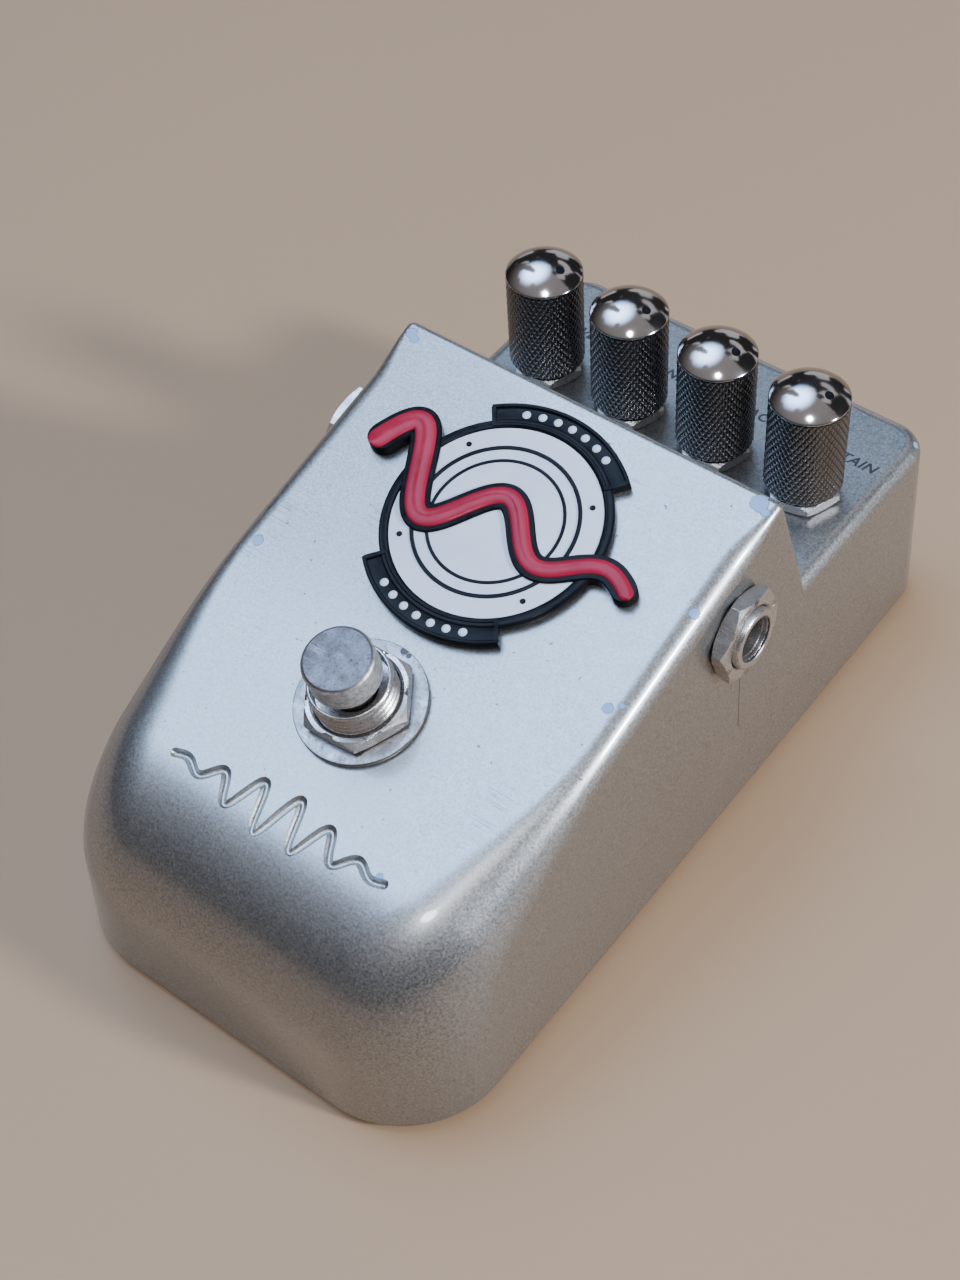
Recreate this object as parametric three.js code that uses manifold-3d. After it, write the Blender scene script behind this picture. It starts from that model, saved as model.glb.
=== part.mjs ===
// A compact sustainer pedal for electric guitar: a die-cast wedge case with a stomp switch on its
// slope, four knurled knobs on a sunk deck behind the ridge, and a jack socket in each side wall.
// Millimetres. +Z is up, +X is the player's right, +Y runs to the rear. The origin is on the
// floor, under the middle of the case.
import * as THREE from "three";
import { ConvexGeometry } from "three/addons/geometries/ConvexGeometry.js";
import { mergeVertices } from "three/addons/utils/BufferGeometryUtils.js";
import Module from "manifold-3d";

const wasm = await Module();
wasm.setup();

// ---------------------------------------------------------------- driving dimensions

// The case.
const LENGTH = 129.5; // over the walls at the rim
const WIDTH = 69.4; // over the walls at the rim
const RIDGE_HEIGHT = 51.1; // rim to ridge
const DECK_HEIGHT = 29.8; // rim to the sunk knob deck
const DECK_DEPTH = 43; // ridge to the rear wall
const SLOPE = 14.1; // degrees
const RIDGE_LEAN = 15; // degrees, the ridge's rear wall from upright
const SIDE_DRAFT = 3; // degrees
const END_DRAFT = 2; // degrees, the front and rear walls
const WALL = 2.5;
const NOSE_RADIUS = 22; // in side view
const FRONT_CORNER_RADIUS = 15.8; // in plan
const REAR_CORNER_RADIUS = 8.5; // in plan
const CORNER_BLEND = 46; // how far back the front corners' radius runs out
const EDGE_RADIUS = 3.5; // along the slope's side edges
const DECK_EDGE_RADIUS = 2.6; // along the deck's side edges
const RIDGE_RADIUS = 1.2;
const REAR_EDGE_RADIUS = 3; // deck to the rear wall

// The base.
const MAT_THICKNESS = 1.5;
const MAT_INSET = 1.4;
const PLATE_THICKNESS = 1.2;
const RIM_LIP = 1.2; // wall left outside the base plate
const BOSS_RADIUS = 3.5;
const SCREW_RADIUS = 1.45;
const SCREW_HEAD_RADIUS = 2.75;
const SCREW_HEAD_HEIGHT = 1.25;
const SCREW_LENGTH = 9;

// The stomp switch, square to the slope.
const SWITCH_FROM_FRONT = 34.5;
const WASHER_REACH = 3.33; // bush to the washer's edge
const WASHER_THICKNESS = 0.8;
const SWITCH_NUT_WALL = 1; // bush to a flat of the nut
const SWITCH_NUT_HEIGHT = 2;
const SWITCH_NUT_TURN = 3; // degrees
const BUSH_RADIUS = 6;
const BUSH_THREAD_TOP = 4.8; // above the slope
const BUSH_COLLAR_STEP = 0.2; // collar inside the thread
const BUSH_TOP = 7.3; // above the slope
const CAP_RADIUS = 5;
const CAP_BOTTOM = 8.4; // above the slope
const CAP_HEIGHT = 4.9;
const CAP_BEVEL = 0.35;
const STEM_RADIUS = 3;
const STEM_LENGTH = 13;
const PRESS = 3.5; // how far the button travels
const SWITCH_BODY_SIDE = 17;
const SWITCH_BODY_HEIGHT = 10;
const SWITCH_BODY_DROP = 7; // slope to the top of the switch body
const SPRING_LENGTH = 9;
const SPRING_WIRE = 0.35; // wire radius
const SPRING_TURNS = 6;
const LUG_PITCH = 9;
const LUG_LENGTH = 4;

// The badge, on the slope.
const BADGE_FROM_SWITCH = 31.2; // along the slope
const BADGE_RADIUS = 16.4;
const BADGE_BAND_RADIUS = 19;
const BADGE_BAND_HALF_ANGLE = 40; // degrees
const BADGE_THICKNESS = 0.9;
const BADGE_RIM = 1.4; // width of the raised rim
const ENAMEL_THICKNESS = 0.35;
const RIBBON_HALF_LENGTH = 23;
const RIBBON_HALF_WIDTH = 1.5;
const RIBBON_SWING = 8; // of its wave, at the left end
const RIBBON_DECAY = 1.5;
const RIBBON_WAVES = 2.5;
const RIBBON_FALL = 3; // degrees, how it slants across the disc
const RIBBON_THICKNESS = 0.5;
const RIBBON_BORDER = 0.9; // the plate shows this far round the ribbon

// The sunk ornament, a burst of waves below the switch.
const ORNAMENT_FROM_SWITCH = 18.9; // along the slope
const ORNAMENT_HALF_LENGTH = 18;
const ORNAMENT_SWING = 3.6;
const ORNAMENT_WAVES = 6;
const ORNAMENT_WIDTH = 1.1;
const ORNAMENT_DEPTH = 0.5;

// The four controls on the deck.
const CONTROL_COUNT = 4;
const CONTROL_PITCH = 15.45;
const CONTROL_FROM_RIDGE = 20.55;
const KNOB_RADIUS = 5.86;
const KNOB_HEIGHT = 19.3;
const KNOB_DOME = 2.4;
const KNOB_LIFT = 2.4; // deck to the knob's lower face
const KNOB_BORE_DEPTH = 11;
const INDEX_RADIUS = 0.7;
const INDEX_OFFSET = 3; // from the knob's axis
const INDEX_DEPTH = 0.4;
const SET_SCREW_RADIUS = 1.15;
const SET_SCREW_LENGTH = 2;
const SET_SCREW_HEIGHT = 5; // above the knob's lower face
const SHAFT_RADIUS = 3;
const POT_NUT_WALL = 1.5; // bush to a flat of the nut
const POT_NUT_HEIGHT = 1.65;
const POT_NUT_TURN = 10; // degrees
const POT_BUSH_RADIUS = 3.5;
const POT_WIDTH = 9.8;
const POT_DEPTH = 11.4;
const POT_HEIGHT = 6.3;

// The jack sockets.
const JACK_FROM_RIDGE = 12;
const JACK_HEIGHT = 36.7; // above the rim
const JACK_NUT_WALL = 1.7; // bush to a flat of the nut
const JACK_NUT_HEIGHT = 2.3;
const JACK_BUSH_PROUD = 0.7; // of its nut
const JACK_NUT_TURN = 17; // degrees
const JACK_BUSH_RADIUS = 4.5;
const JACK_BORE_RADIUS = 3.36;
const JACK_BODY_SIDE = 11;
const JACK_BODY_LENGTH = 20;
const JACK_BORE_DEPTH = 22; // from the nut's face

// The power socket in the rear wall.
const POWER_NOSE_RADIUS = 4.6;
const POWER_BORE_RADIUS = 3;
const POWER_BORE_DEPTH = 9;
const POWER_PIN_RADIUS = 0.8;
const POWER_BODY_WIDTH = 11;
const POWER_BODY_LENGTH = 12;
const POWER_BODY_HEIGHT = 11;

// The electronics.
const LAMP_RADIUS = 1.5;
const LAMP_FROM_REAR = 8.5;
const BOARD_WIDTH = 48;
const BOARD_THICKNESS = 1.6;
const BOARD_FRONT_FROM_RIDGE = 6.5; // ahead of the ridge
const BOARD_REAR_CLEARANCE = 4.5; // to the rear wall
const CHIP_SIZE = [9.8, 6.4, 3.4];
const CAPACITOR_RADIUS = 2.6;
const CAPACITOR_HEIGHT = 7;
const BATTERY_LENGTH = 46; // along X, without its terminals
const BATTERY_DEPTH = 26;
const BATTERY_HEIGHT = 17;
const TERMINAL_RADIUS = 2.8;
const TERMINAL_HEIGHT = 2.4;
const TERMINAL_PITCH = 12.7;
const SNAP_THICKNESS = 3.2;
const PAD_THICKNESS = 1.2;
const LEAD_RADIUS = 0.65;

// Clearances.
const SEAT = 0.2; // between faces that touch
const FREE = 0.35; // round a piece that passes through a hole
const RUNNING = 0.09; // shaft in its bush
const DECK_STEP = 0.1; // the deck block's sides stand this far inside the wedge's
const FINEST = 0.02; // detail under this is left out of the housing
const NEAREST = 0.3; // two points of a rolled surface are never closer

// ---------------------------------------------------------------- places worked out from them

const rad = THREE.MathUtils.degToRad;
const slope = rad(SLOPE);
const sideDraft = rad(SIDE_DRAFT);
const endDraft = rad(END_DRAFT);
const rimZ = MAT_THICKNESS + SEAT;
const frontY = -LENGTH / 2;
const rearY = LENGTH / 2;
const ridgeY = rearY - DECK_DEPTH;
const ridgeZ = rimZ + RIDGE_HEIGHT;
const deckZ = rimZ + DECK_HEIGHT;
const switchY = frontY + SWITCH_FROM_FRONT;
const slopeZ = (y) => ridgeZ + (y - ridgeY) * Math.tan(slope);
const wallX = (z) => WIDTH / 2 - (z - rimZ) * Math.tan(sideDraft);
const plateTopZ = rimZ + PLATE_THICKNESS;
const controlY = ridgeY + CONTROL_FROM_RIDGE;
const controlX = (i) => (i - (CONTROL_COUNT - 1) / 2) * CONTROL_PITCH;
const boardTopZ = deckZ - WALL - POT_HEIGHT - 2 * SEAT;
const boardBottomZ = boardTopZ - BOARD_THICKNESS;
const jackY = ridgeY - JACK_FROM_RIDGE;
const jackZ = rimZ + JACK_HEIGHT;

// ---------------------------------------------------------------- materials

const paint = (color, roughness, metalness) =>
  new THREE.MeshStandardMaterial({ color, roughness, metalness });
const CASE_PAINT = paint(0xb3aca0, 0.35, 0.5);
const NICKEL = paint(0xa8a4a2, 0.35, 1);
const DARK_CHROME = paint(0x77757a, 0.15, 1);
const STEEL = paint(0x9a9a9a, 0.45, 1);
const RUBBER = paint(0x17171a, 0.85, 0);
const BLACK = paint(0x101012, 0.4, 0);
const WHITE_ENAMEL = paint(0xcdd3e0, 0.25, 0);
const RED_ENAMEL = paint(0xa02030, 0.25, 0);
const BOARD_GREEN = paint(0x1d5a34, 0.5, 0);
const BRASS = paint(0xb08d4a, 0.4, 1);
const RED_GLASS = paint(0xb01818, 0.15, 0);
const BATTERY_BLUE = paint(0x24406e, 0.4, 0.2);
const FOAM = paint(0x2c2c2e, 0.95, 0);
const RED_PLASTIC = paint(0xb22222, 0.5, 0);
const TIN = paint(0xc0bfb8, 0.4, 1);

// ---------------------------------------------------------------- shapes

// A closed geometry as a solid that can be cut and joined.
function solid(geometry) {
  const bare = geometry.clone();
  bare.deleteAttribute("normal");
  bare.deleteAttribute("uv");
  const merged = mergeVertices(bare, 1e-4);
  return new wasm.Manifold(
    new wasm.Mesh({
      numProp: 3,
      vertProperties: new Float32Array(merged.attributes.position.array),
      triVerts: new Uint32Array(merged.index.array),
    }),
  );
}

// A solid as a geometry again, with a flat normal on each face.
function geometryOf(body) {
  const mesh = body.getMesh();
  const geometry = new THREE.BufferGeometry();
  geometry.setAttribute("position", new THREE.BufferAttribute(mesh.vertProperties, 3));
  geometry.setIndex(new THREE.BufferAttribute(mesh.triVerts, 1));
  const flat = geometry.toNonIndexed();
  flat.computeVertexNormals();
  return flat;
}

// A block from its lowest to its highest corner.
function block(low, high) {
  const size = high.map((v, i) => v - low[i]);
  const middle = high.map((v, i) => (v + low[i]) / 2);
  return new THREE.BoxGeometry(...size).translate(...middle);
}

// A round bar along Z from z0 to z1.
function bar(radius, z0, z1, sides = 16) {
  return new THREE.CylinderGeometry(radius, radius, z1 - z0, sides)
    .rotateX(Math.PI / 2)
    .translate(0, 0, (z0 + z1) / 2);
}

// A turned piece: [radius, z] points from the foot of the axis, up the outside, back to the axis.
function turned(points, sides = 20) {
  const profile = points.map(([r, z]) => new THREE.Vector2(r, z));
  return new THREE.LatheGeometry(profile, sides).rotateX(Math.PI / 2);
}

// A hexagon nut along Z with both faces' corners chamfered, bored through.
function hexNut(flats, height, z0, boreRadius, turn) {
  const corner = flats / Math.sqrt(3);
  const chamfer = (corner - flats / 2) * 0.9;
  const drop = chamfer * Math.tan(rad(30));
  const prism = new THREE.CylinderGeometry(corner, corner, height, 6)
    .rotateX(Math.PI / 2)
    .rotateZ(rad(turn) + Math.PI / 2)
    .translate(0, 0, z0 + height / 2);
  const cone = turned([
    [0, z0],
    [corner - chamfer, z0],
    [corner + 0.01, z0 + drop],
    [corner + 0.01, z0 + height - drop],
    [corner - chamfer, z0 + height],
    [0, z0 + height],
  ], 12);
  return solid(prism)
    .intersect(solid(cone))
    .subtract(solid(bar(boreRadius, z0 - 1, z0 + height + 1)));
}

// A flat outline, z0 to z1.
function slab(shape, z0, z1, curveSegments = 6) {
  return new THREE.ExtrudeGeometry(shape, {
    depth: z1 - z0,
    bevelEnabled: false,
    curveSegments,
  }).translate(0, 0, z0);
}

// The case's plan outline, moved in from the walls at the rim.
function planOutline(inset) {
  const x = WIDTH / 2 - inset;
  const front = frontY + inset;
  const rear = rearY - inset;
  const rf = FRONT_CORNER_RADIUS - inset;
  const rr = REAR_CORNER_RADIUS - inset;
  const shape = new THREE.Shape();
  shape.moveTo(-x + rf, front);
  shape.lineTo(x - rf, front);
  shape.absarc(x - rf, front + rf, rf, -Math.PI / 2, 0, false);
  shape.lineTo(x, rear - rr);
  shape.absarc(x - rr, rear - rr, rr, 0, Math.PI / 2, false);
  shape.lineTo(-x + rr, rear);
  shape.absarc(-x + rr, rear - rr, rr, Math.PI / 2, Math.PI, false);
  shape.lineTo(-x, front + rf);
  shape.absarc(-x + rf, front + rf, rf, Math.PI, 1.5 * Math.PI, false);
  return shape;
}

// A tapering-wall body from its profile in side view. A ball rolls between the profile and each
// drafted side wall: every station gives a point y, z of the profile, the angle its normal makes
// with +Y, and the ball's radius there.
function rolledBody(stations, inset, steps, stepIn = 0) {
  const points = [];
  const side = new THREE.Vector3(Math.cos(sideDraft), 0, Math.sin(sideDraft));
  for (const { y, z, angle, radius } of stations) {
    const out = new THREE.Vector3(0, Math.cos(angle), Math.sin(angle));
    const ball = Math.max(radius - inset, 0.3);
    const cy = y - (inset + ball) * out.y;
    const cz = z - (inset + ball) * out.z;
    const cx = wallX(cz) - stepIn - (inset + ball) / Math.cos(sideDraft);
    const between = out.angleTo(side);
    for (let k = 0; k <= steps; k++) {
      const t = k / steps;
      const n = out
        .clone()
        .multiplyScalar(Math.sin((1 - t) * between))
        .addScaledVector(side, Math.sin(t * between))
        .divideScalar(Math.sin(between));
      const point = new THREE.Vector3(cx, cy, cz).addScaledVector(n, ball);
      if (points.some((other) => other.distanceTo(point) < NEAREST)) continue;
      points.push(point, point.clone().setX(-point.x));
    }
  }
  return solid(new ConvexGeometry(points));
}

// Points on a round stretch of the profile, about a centre, from one normal angle to another.
function arcStations(cy, cz, arcRadius, from, to, count, ballRadius) {
  return Array.from({ length: count + 1 }, (_, k) => {
    const angle = from + ((to - from) * k) / count;
    const y = cy + arcRadius * Math.cos(angle);
    const z = cz + arcRadius * Math.sin(angle);
    return { y, z, angle, radius: ballRadius(y) };
  });
}

// Points up the slope from the nose, while the corner's radius runs out.
function slopeStations(startY, angle, ballRadius) {
  const count = 4;
  const step = (frontY + CORNER_BLEND - startY) / count;
  return Array.from({ length: count }, (_, k) => {
    const y = startY + step * (k + 1);
    return { y, z: slopeZ(y), angle, radius: ballRadius(y) };
  });
}

// The wedge: front wall, nose, slope, ridge, and the ridge's rear wall down to the rim.
function wedgeStations() {
  const frontAngle = Math.PI - endDraft;
  const slopeAngle = Math.PI / 2 + slope;
  const rearAngle = rad(RIDGE_LEAN);
  const below = 3; // the walls run on below the rim and are cut off there
  const footY = frontY - below * Math.tan(endDraft);
  // The nose centre lies the nose radius inside both the front wall and the slope.
  const [ay, az] = [Math.cos(frontAngle), Math.sin(frontAngle)];
  const [by, bz] = [Math.cos(slopeAngle), Math.sin(slopeAngle)];
  const a = ay * frontY + az * rimZ - NOSE_RADIUS;
  const b = by * ridgeY + bz * ridgeZ - NOSE_RADIUS;
  const det = ay * bz - az * by;
  const noseY = (a * bz - az * b) / det;
  const noseZ = (ay * b - by * a) / det;
  const blend = (y) => {
    const t = THREE.MathUtils.clamp((y - frontY) / CORNER_BLEND, 0, 1);
    const s = t * t * (3 - 2 * t);
    return FRONT_CORNER_RADIUS * (1 - s) + EDGE_RADIUS * s;
  };
  // The ridge's own small round, inside the slope and the leaning rear wall.
  const [cy, cz] = [Math.cos(rearAngle), Math.sin(rearAngle)];
  const c = by * ridgeY + bz * ridgeZ - RIDGE_RADIUS;
  const d = cy * ridgeY + cz * ridgeZ - RIDGE_RADIUS;
  const det2 = by * cz - bz * cy;
  const ridgeCentreY = (c * cz - bz * d) / det2;
  const ridgeCentreZ = (by * d - cy * c) / det2;
  const footRearY = ridgeY + (ridgeZ - rimZ + below) * Math.tan(rearAngle);
  const edge = () => EDGE_RADIUS;
  return [
    { y: footY, z: rimZ - below, angle: frontAngle, radius: FRONT_CORNER_RADIUS },
    ...arcStations(noseY, noseZ, NOSE_RADIUS, frontAngle, slopeAngle, 8, blend),
    ...slopeStations(noseY - NOSE_RADIUS * Math.sin(slope), slopeAngle, blend),
    ...arcStations(ridgeCentreY, ridgeCentreZ, RIDGE_RADIUS, slopeAngle, rearAngle, 3, edge),
    { y: footRearY, z: rimZ - below, angle: rearAngle, radius: EDGE_RADIUS },
  ];
}

// The deck block: from inside the wedge back over the deck and down the rear wall.
function deckStations() {
  const below = 3;
  const centreY = rearY - DECK_HEIGHT * Math.tan(endDraft) - REAR_EDGE_RADIUS;
  const centreZ = deckZ - REAR_EDGE_RADIUS;
  const radius = (y) =>
    THREE.MathUtils.mapLinear(y, centreY, rearY, DECK_EDGE_RADIUS, REAR_CORNER_RADIUS);
  const startY = ridgeY - 2 * WALL;
  return [
    { y: startY, z: rimZ - below, angle: Math.PI, radius: DECK_EDGE_RADIUS },
    { y: startY, z: deckZ - DECK_EDGE_RADIUS, angle: Math.PI, radius: DECK_EDGE_RADIUS },
    { y: startY + DECK_EDGE_RADIUS, z: deckZ, angle: Math.PI / 2, radius: DECK_EDGE_RADIUS },
    ...arcStations(centreY, centreZ, REAR_EDGE_RADIUS, Math.PI / 2, endDraft, 4, radius),
    {
      y: rearY + below * Math.tan(endDraft),
      z: rimZ - below,
      angle: endDraft,
      radius: REAR_CORNER_RADIUS,
    },
  ];
}

// A wavy band along X in a flat outline: its middle line is a function of x, and its ends round.
function waveBand(line, halfLength, halfWidth, steps) {
  const upper = [];
  const lower = [];
  for (let k = 0; k <= steps; k++) {
    const x = -halfLength + (2 * halfLength * k) / steps;
    const h = 1e-3;
    const grade = (line(x + h) - line(x - h)) / (2 * h);
    const n = new THREE.Vector2(-grade, 1).normalize().multiplyScalar(halfWidth);
    upper.push(new THREE.Vector2(x + n.x, line(x) + n.y));
    lower.unshift(new THREE.Vector2(x - n.x, line(x) - n.y));
  }
  return new THREE.Shape([...upper, ...lower]);
}

// ---------------------------------------------------------------- the assembly

const pedal = new THREE.Group();

// A named piece from a solid or a geometry, in a group.
function piece(name, shape, material, parent = pedal) {
  const mesh = new THREE.Mesh(shape.isBufferGeometry ? shape : geometryOf(shape), material);
  mesh.name = name;
  parent.add(mesh);
  return mesh;
}

// A group on the slope, its own Z square to it, at a distance along it from the switch.
function onSlope(distance) {
  const group = new THREE.Group();
  const y = switchY + distance * Math.cos(slope);
  group.position.set(0, y, slopeZ(y));
  group.rotation.x = slope;
  group.updateMatrix();
  pedal.add(group);
  return group;
}

// A group on a side wall, its own Z square to it and pointing out.
function onSide(side) {
  const group = new THREE.Group();
  group.position.set(side * wallX(jackZ), jackY, jackZ);
  group.rotation.y = side * (Math.PI / 2 - sideDraft);
  group.updateMatrix();
  pedal.add(group);
  return group;
}

const switchFrame = onSlope(0);
const badgeFrame = onSlope(BADGE_FROM_SWITCH);
const ornamentFrame = onSlope(-ORNAMENT_FROM_SWITCH);
const jackFrames = { input: onSide(1), output: onSide(-1) };

// A geometry made in a group's own frame, moved into the pedal's frame.
const placed = (geometry, group) => geometry.clone().applyMatrix4(group.matrix);

// The four base screws stand near the corners, each in a boss that joins the walls.
function bossPlaces() {
  const reach = (corner) => (corner - WALL - BOSS_RADIUS + 0.6) * Math.SQRT1_2;
  const fx = WIDTH / 2 - FRONT_CORNER_RADIUS + reach(FRONT_CORNER_RADIUS);
  const fy = frontY + FRONT_CORNER_RADIUS - reach(FRONT_CORNER_RADIUS);
  const rx = WIDTH / 2 - REAR_CORNER_RADIUS + reach(REAR_CORNER_RADIUS);
  const ry = rearY - REAR_CORNER_RADIUS + reach(REAR_CORNER_RADIUS);
  return [
    [-fx, fy],
    [fx, fy],
    [rx, ry],
    [-rx, ry],
  ];
}

// The burst of waves: a sine under a bell-shaped envelope.
const burst = (x) =>
  ORNAMENT_SWING *
  Math.exp(-(((1.6 * x) / ORNAMENT_HALF_LENGTH) ** 2)) *
  Math.sin((Math.PI * ORNAMENT_WAVES * x) / ORNAMENT_HALF_LENGTH);

const powerZ = boardBottomZ - SEAT - POWER_BODY_HEIGHT / 2;
const powerWallY = rearY - (powerZ - rimZ) * Math.tan(endDraft);
const lampY = rearY - LAMP_FROM_REAR;

function housing() {
  const big = 4 * LENGTH;
  const above = solid(block([-big, -big, rimZ], [big, big, big]));
  const outer = rolledBody(wedgeStations(), 0, 4)
    .add(rolledBody(deckStations(), 0, 4, DECK_STEP))
    .intersect(above);
  let hollow = rolledBody(wedgeStations(), WALL, 2);
  hollow = hollow.add(rolledBody(deckStations(), WALL, 2, DECK_STEP));
  for (const [x, y] of bossPlaces()) {
    const boss = bar(BOSS_RADIUS, plateTopZ + SEAT, ridgeZ, 12).translate(x, y, 0);
    hollow = hollow.subtract(solid(boss));
  }
  let body = outer.subtract(hollow);
  body = body.subtract(solid(slab(planOutline(RIM_LIP), rimZ - 1, plateTopZ + SEAT)));
  for (const [x, y] of bossPlaces()) {
    const hole = bar(SCREW_RADIUS + SEAT, 0, rimZ + SCREW_LENGTH + 1, 12).translate(x, y, 0);
    body = body.subtract(solid(hole));
  }
  const through = 3 * WALL;
  body = body.subtract(solid(placed(bar(BUSH_RADIUS + FREE, -through, through), switchFrame)));
  for (const group of Object.values(jackFrames)) {
    body = body.subtract(solid(placed(bar(JACK_BUSH_RADIUS + FREE, -through, through), group)));
  }
  for (let i = 0; i < CONTROL_COUNT; i++) {
    const hole = bar(POT_BUSH_RADIUS + FREE, -through, through);
    hole.translate(controlX(i), controlY, deckZ);
    body = body.subtract(solid(hole));
  }
  const lampHole = bar(LAMP_RADIUS + SEAT, -through, through, 16).translate(0, lampY, deckZ);
  body = body.subtract(solid(lampHole));
  const powerHole = bar(POWER_NOSE_RADIUS + SEAT, -through, through)
    .rotateX(-Math.PI / 2)
    .translate(0, powerWallY, powerZ);
  body = body.subtract(solid(powerHole));
  const groove = waveBand(burst, ORNAMENT_HALF_LENGTH, ORNAMENT_WIDTH / 2, 52);
  const cutter = solid(placed(slab(groove, -ORNAMENT_DEPTH, 2), ornamentFrame));
  return body.subtract(cutter).simplify(FINEST);
}

function basePieces() {
  const plateInset = RIM_LIP + SEAT;
  let plate = solid(slab(planOutline(plateInset), rimZ, plateTopZ));
  let mat = solid(slab(planOutline(MAT_INSET), 0, MAT_THICKNESS));
  bossPlaces().forEach(([x, y], i) => {
    const hole = bar(SCREW_RADIUS + SEAT, 0, 2 * plateTopZ, 12).translate(x, y, 0);
    plate = plate.subtract(solid(hole));
    mat = mat.subtract(solid(bar(SCREW_HEAD_RADIUS + 2 * FREE, -1, rimZ).translate(x, y, 0)));
    const headTop = rimZ - SEAT;
    const headBottom = headTop - SCREW_HEAD_HEIGHT;
    const drive = new THREE.CylinderGeometry(1.1, 1.1, 1.4, 6)
      .rotateX(Math.PI / 2)
      .translate(0, 0, headBottom);
    const screw = solid(
      turned(
        [
          [0, headBottom],
          [SCREW_HEAD_RADIUS - 0.5, headBottom],
          [SCREW_HEAD_RADIUS, headBottom + 0.5],
          [SCREW_HEAD_RADIUS, headTop],
          [SCREW_RADIUS, headTop],
          [SCREW_RADIUS, rimZ + SCREW_LENGTH - 0.8],
          [SCREW_RADIUS - 0.6, rimZ + SCREW_LENGTH],
          [0, rimZ + SCREW_LENGTH],
        ],
        12,
      ),
    ).subtract(solid(drive));
    piece("base_screw_" + (i + 1), screw, STEEL).position.set(x, y, 0);
  });
  piece("base_plate", plate, STEEL);
  piece("base_mat", mat, RUBBER);
}

function switchPieces() {
  const frame = switchFrame;
  const washerTop = SEAT + WASHER_THICKNESS;
  const washer = solid(bar(BUSH_RADIUS + WASHER_REACH, SEAT, washerTop, 32)).subtract(
    solid(bar(BUSH_RADIUS + SEAT, -1, 2 * washerTop)),
  );
  piece("switch_washer", washer, NICKEL, frame);
  const nutBore = BUSH_RADIUS + SEAT;
  const flats = 2 * (BUSH_RADIUS + SWITCH_NUT_WALL);
  const nut = hexNut(flats, SWITCH_NUT_HEIGHT, washerTop + SEAT, nutBore, SWITCH_NUT_TURN);
  piece("switch_nut", nut, NICKEL, frame);
  const under = -WALL - SEAT - SWITCH_NUT_HEIGHT;
  piece("switch_lock_nut", hexNut(flats, SWITCH_NUT_HEIGHT, under, nutBore, 0), STEEL, frame);

  const bodyTop = -SWITCH_BODY_DROP;
  const bodyBottom = bodyTop - SWITCH_BODY_HEIGHT;
  const stemBore = STEM_RADIUS + FREE;
  const mouth = CAP_RADIUS + FREE;
  const mouthFloor = CAP_BOTTOM - PRESS - FREE;
  const groove = 0.35;
  const bush = turned([
    [stemBore, bodyTop + SEAT],
    [BUSH_RADIUS, bodyTop + SEAT],
    [BUSH_RADIUS, BUSH_THREAD_TOP],
    [BUSH_RADIUS - groove, BUSH_THREAD_TOP + groove],
    [BUSH_RADIUS - BUSH_COLLAR_STEP, BUSH_THREAD_TOP + 2 * groove],
    [BUSH_RADIUS - BUSH_COLLAR_STEP, BUSH_TOP - groove],
    [mouth + 0.05, BUSH_TOP],
    [mouth, BUSH_TOP - 0.05],
    [mouth, mouthFloor],
    [stemBore, mouthFloor],
    [stemBore, bodyTop + SEAT],
  ]);
  piece("switch_bush", bush, NICKEL, frame);

  const stemBottom = CAP_BOTTOM - STEM_LENGTH;
  const springTop = stemBottom - SEAT;
  const springBottom = springTop - SPRING_LENGTH;
  const half = SWITCH_BODY_SIDE / 2;
  const body = solid(block([-half, -half, bodyBottom], [half, half, bodyTop])).subtract(
    solid(bar(stemBore, springBottom - SEAT, 0)),
  );
  piece("switch_body", body, BLACK, frame);

  const capTop = CAP_BOTTOM + CAP_HEIGHT;
  const button = turned([
    [0, stemBottom],
    [STEM_RADIUS, stemBottom],
    [STEM_RADIUS, CAP_BOTTOM],
    [CAP_RADIUS - CAP_BEVEL, CAP_BOTTOM],
    [CAP_RADIUS, CAP_BOTTOM + CAP_BEVEL],
    [CAP_RADIUS, capTop - CAP_BEVEL],
    [CAP_RADIUS - CAP_BEVEL, capTop],
    [0, capTop],
  ]);
  piece("switch_button", button, NICKEL, frame);

  class Coil extends THREE.Curve {
    getPoint(t, target = new THREE.Vector3()) {
      const turn = 2 * Math.PI * SPRING_TURNS * t;
      const r = STEM_RADIUS - FREE - SPRING_WIRE;
      const rise = SPRING_LENGTH - 2 * SPRING_WIRE;
      const z = springBottom + SPRING_WIRE + rise * t;
      return target.set(r * Math.cos(turn), r * Math.sin(turn), z);
    }
  }
  const wire = new THREE.Shape().absarc(0, 0, SPRING_WIRE * 0.9, 0, 2 * Math.PI, false);
  const spring = new THREE.ExtrudeGeometry(wire, {
    steps: SPRING_TURNS * 8,
    extrudePath: new Coil(),
    curveSegments: 3,
  });
  piece("switch_spring", spring, STEEL, frame);

  for (const [i, side] of [-1, 1].entries()) {
    const x = (side * LUG_PITCH) / 2;
    const top = bodyBottom - SEAT;
    const lug = block([x - 0.5, -1.2, top - LUG_LENGTH], [x + 0.5, 1.2, top]);
    piece("switch_lug_" + (i + 1), lug, TIN, frame);
  }
}

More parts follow.
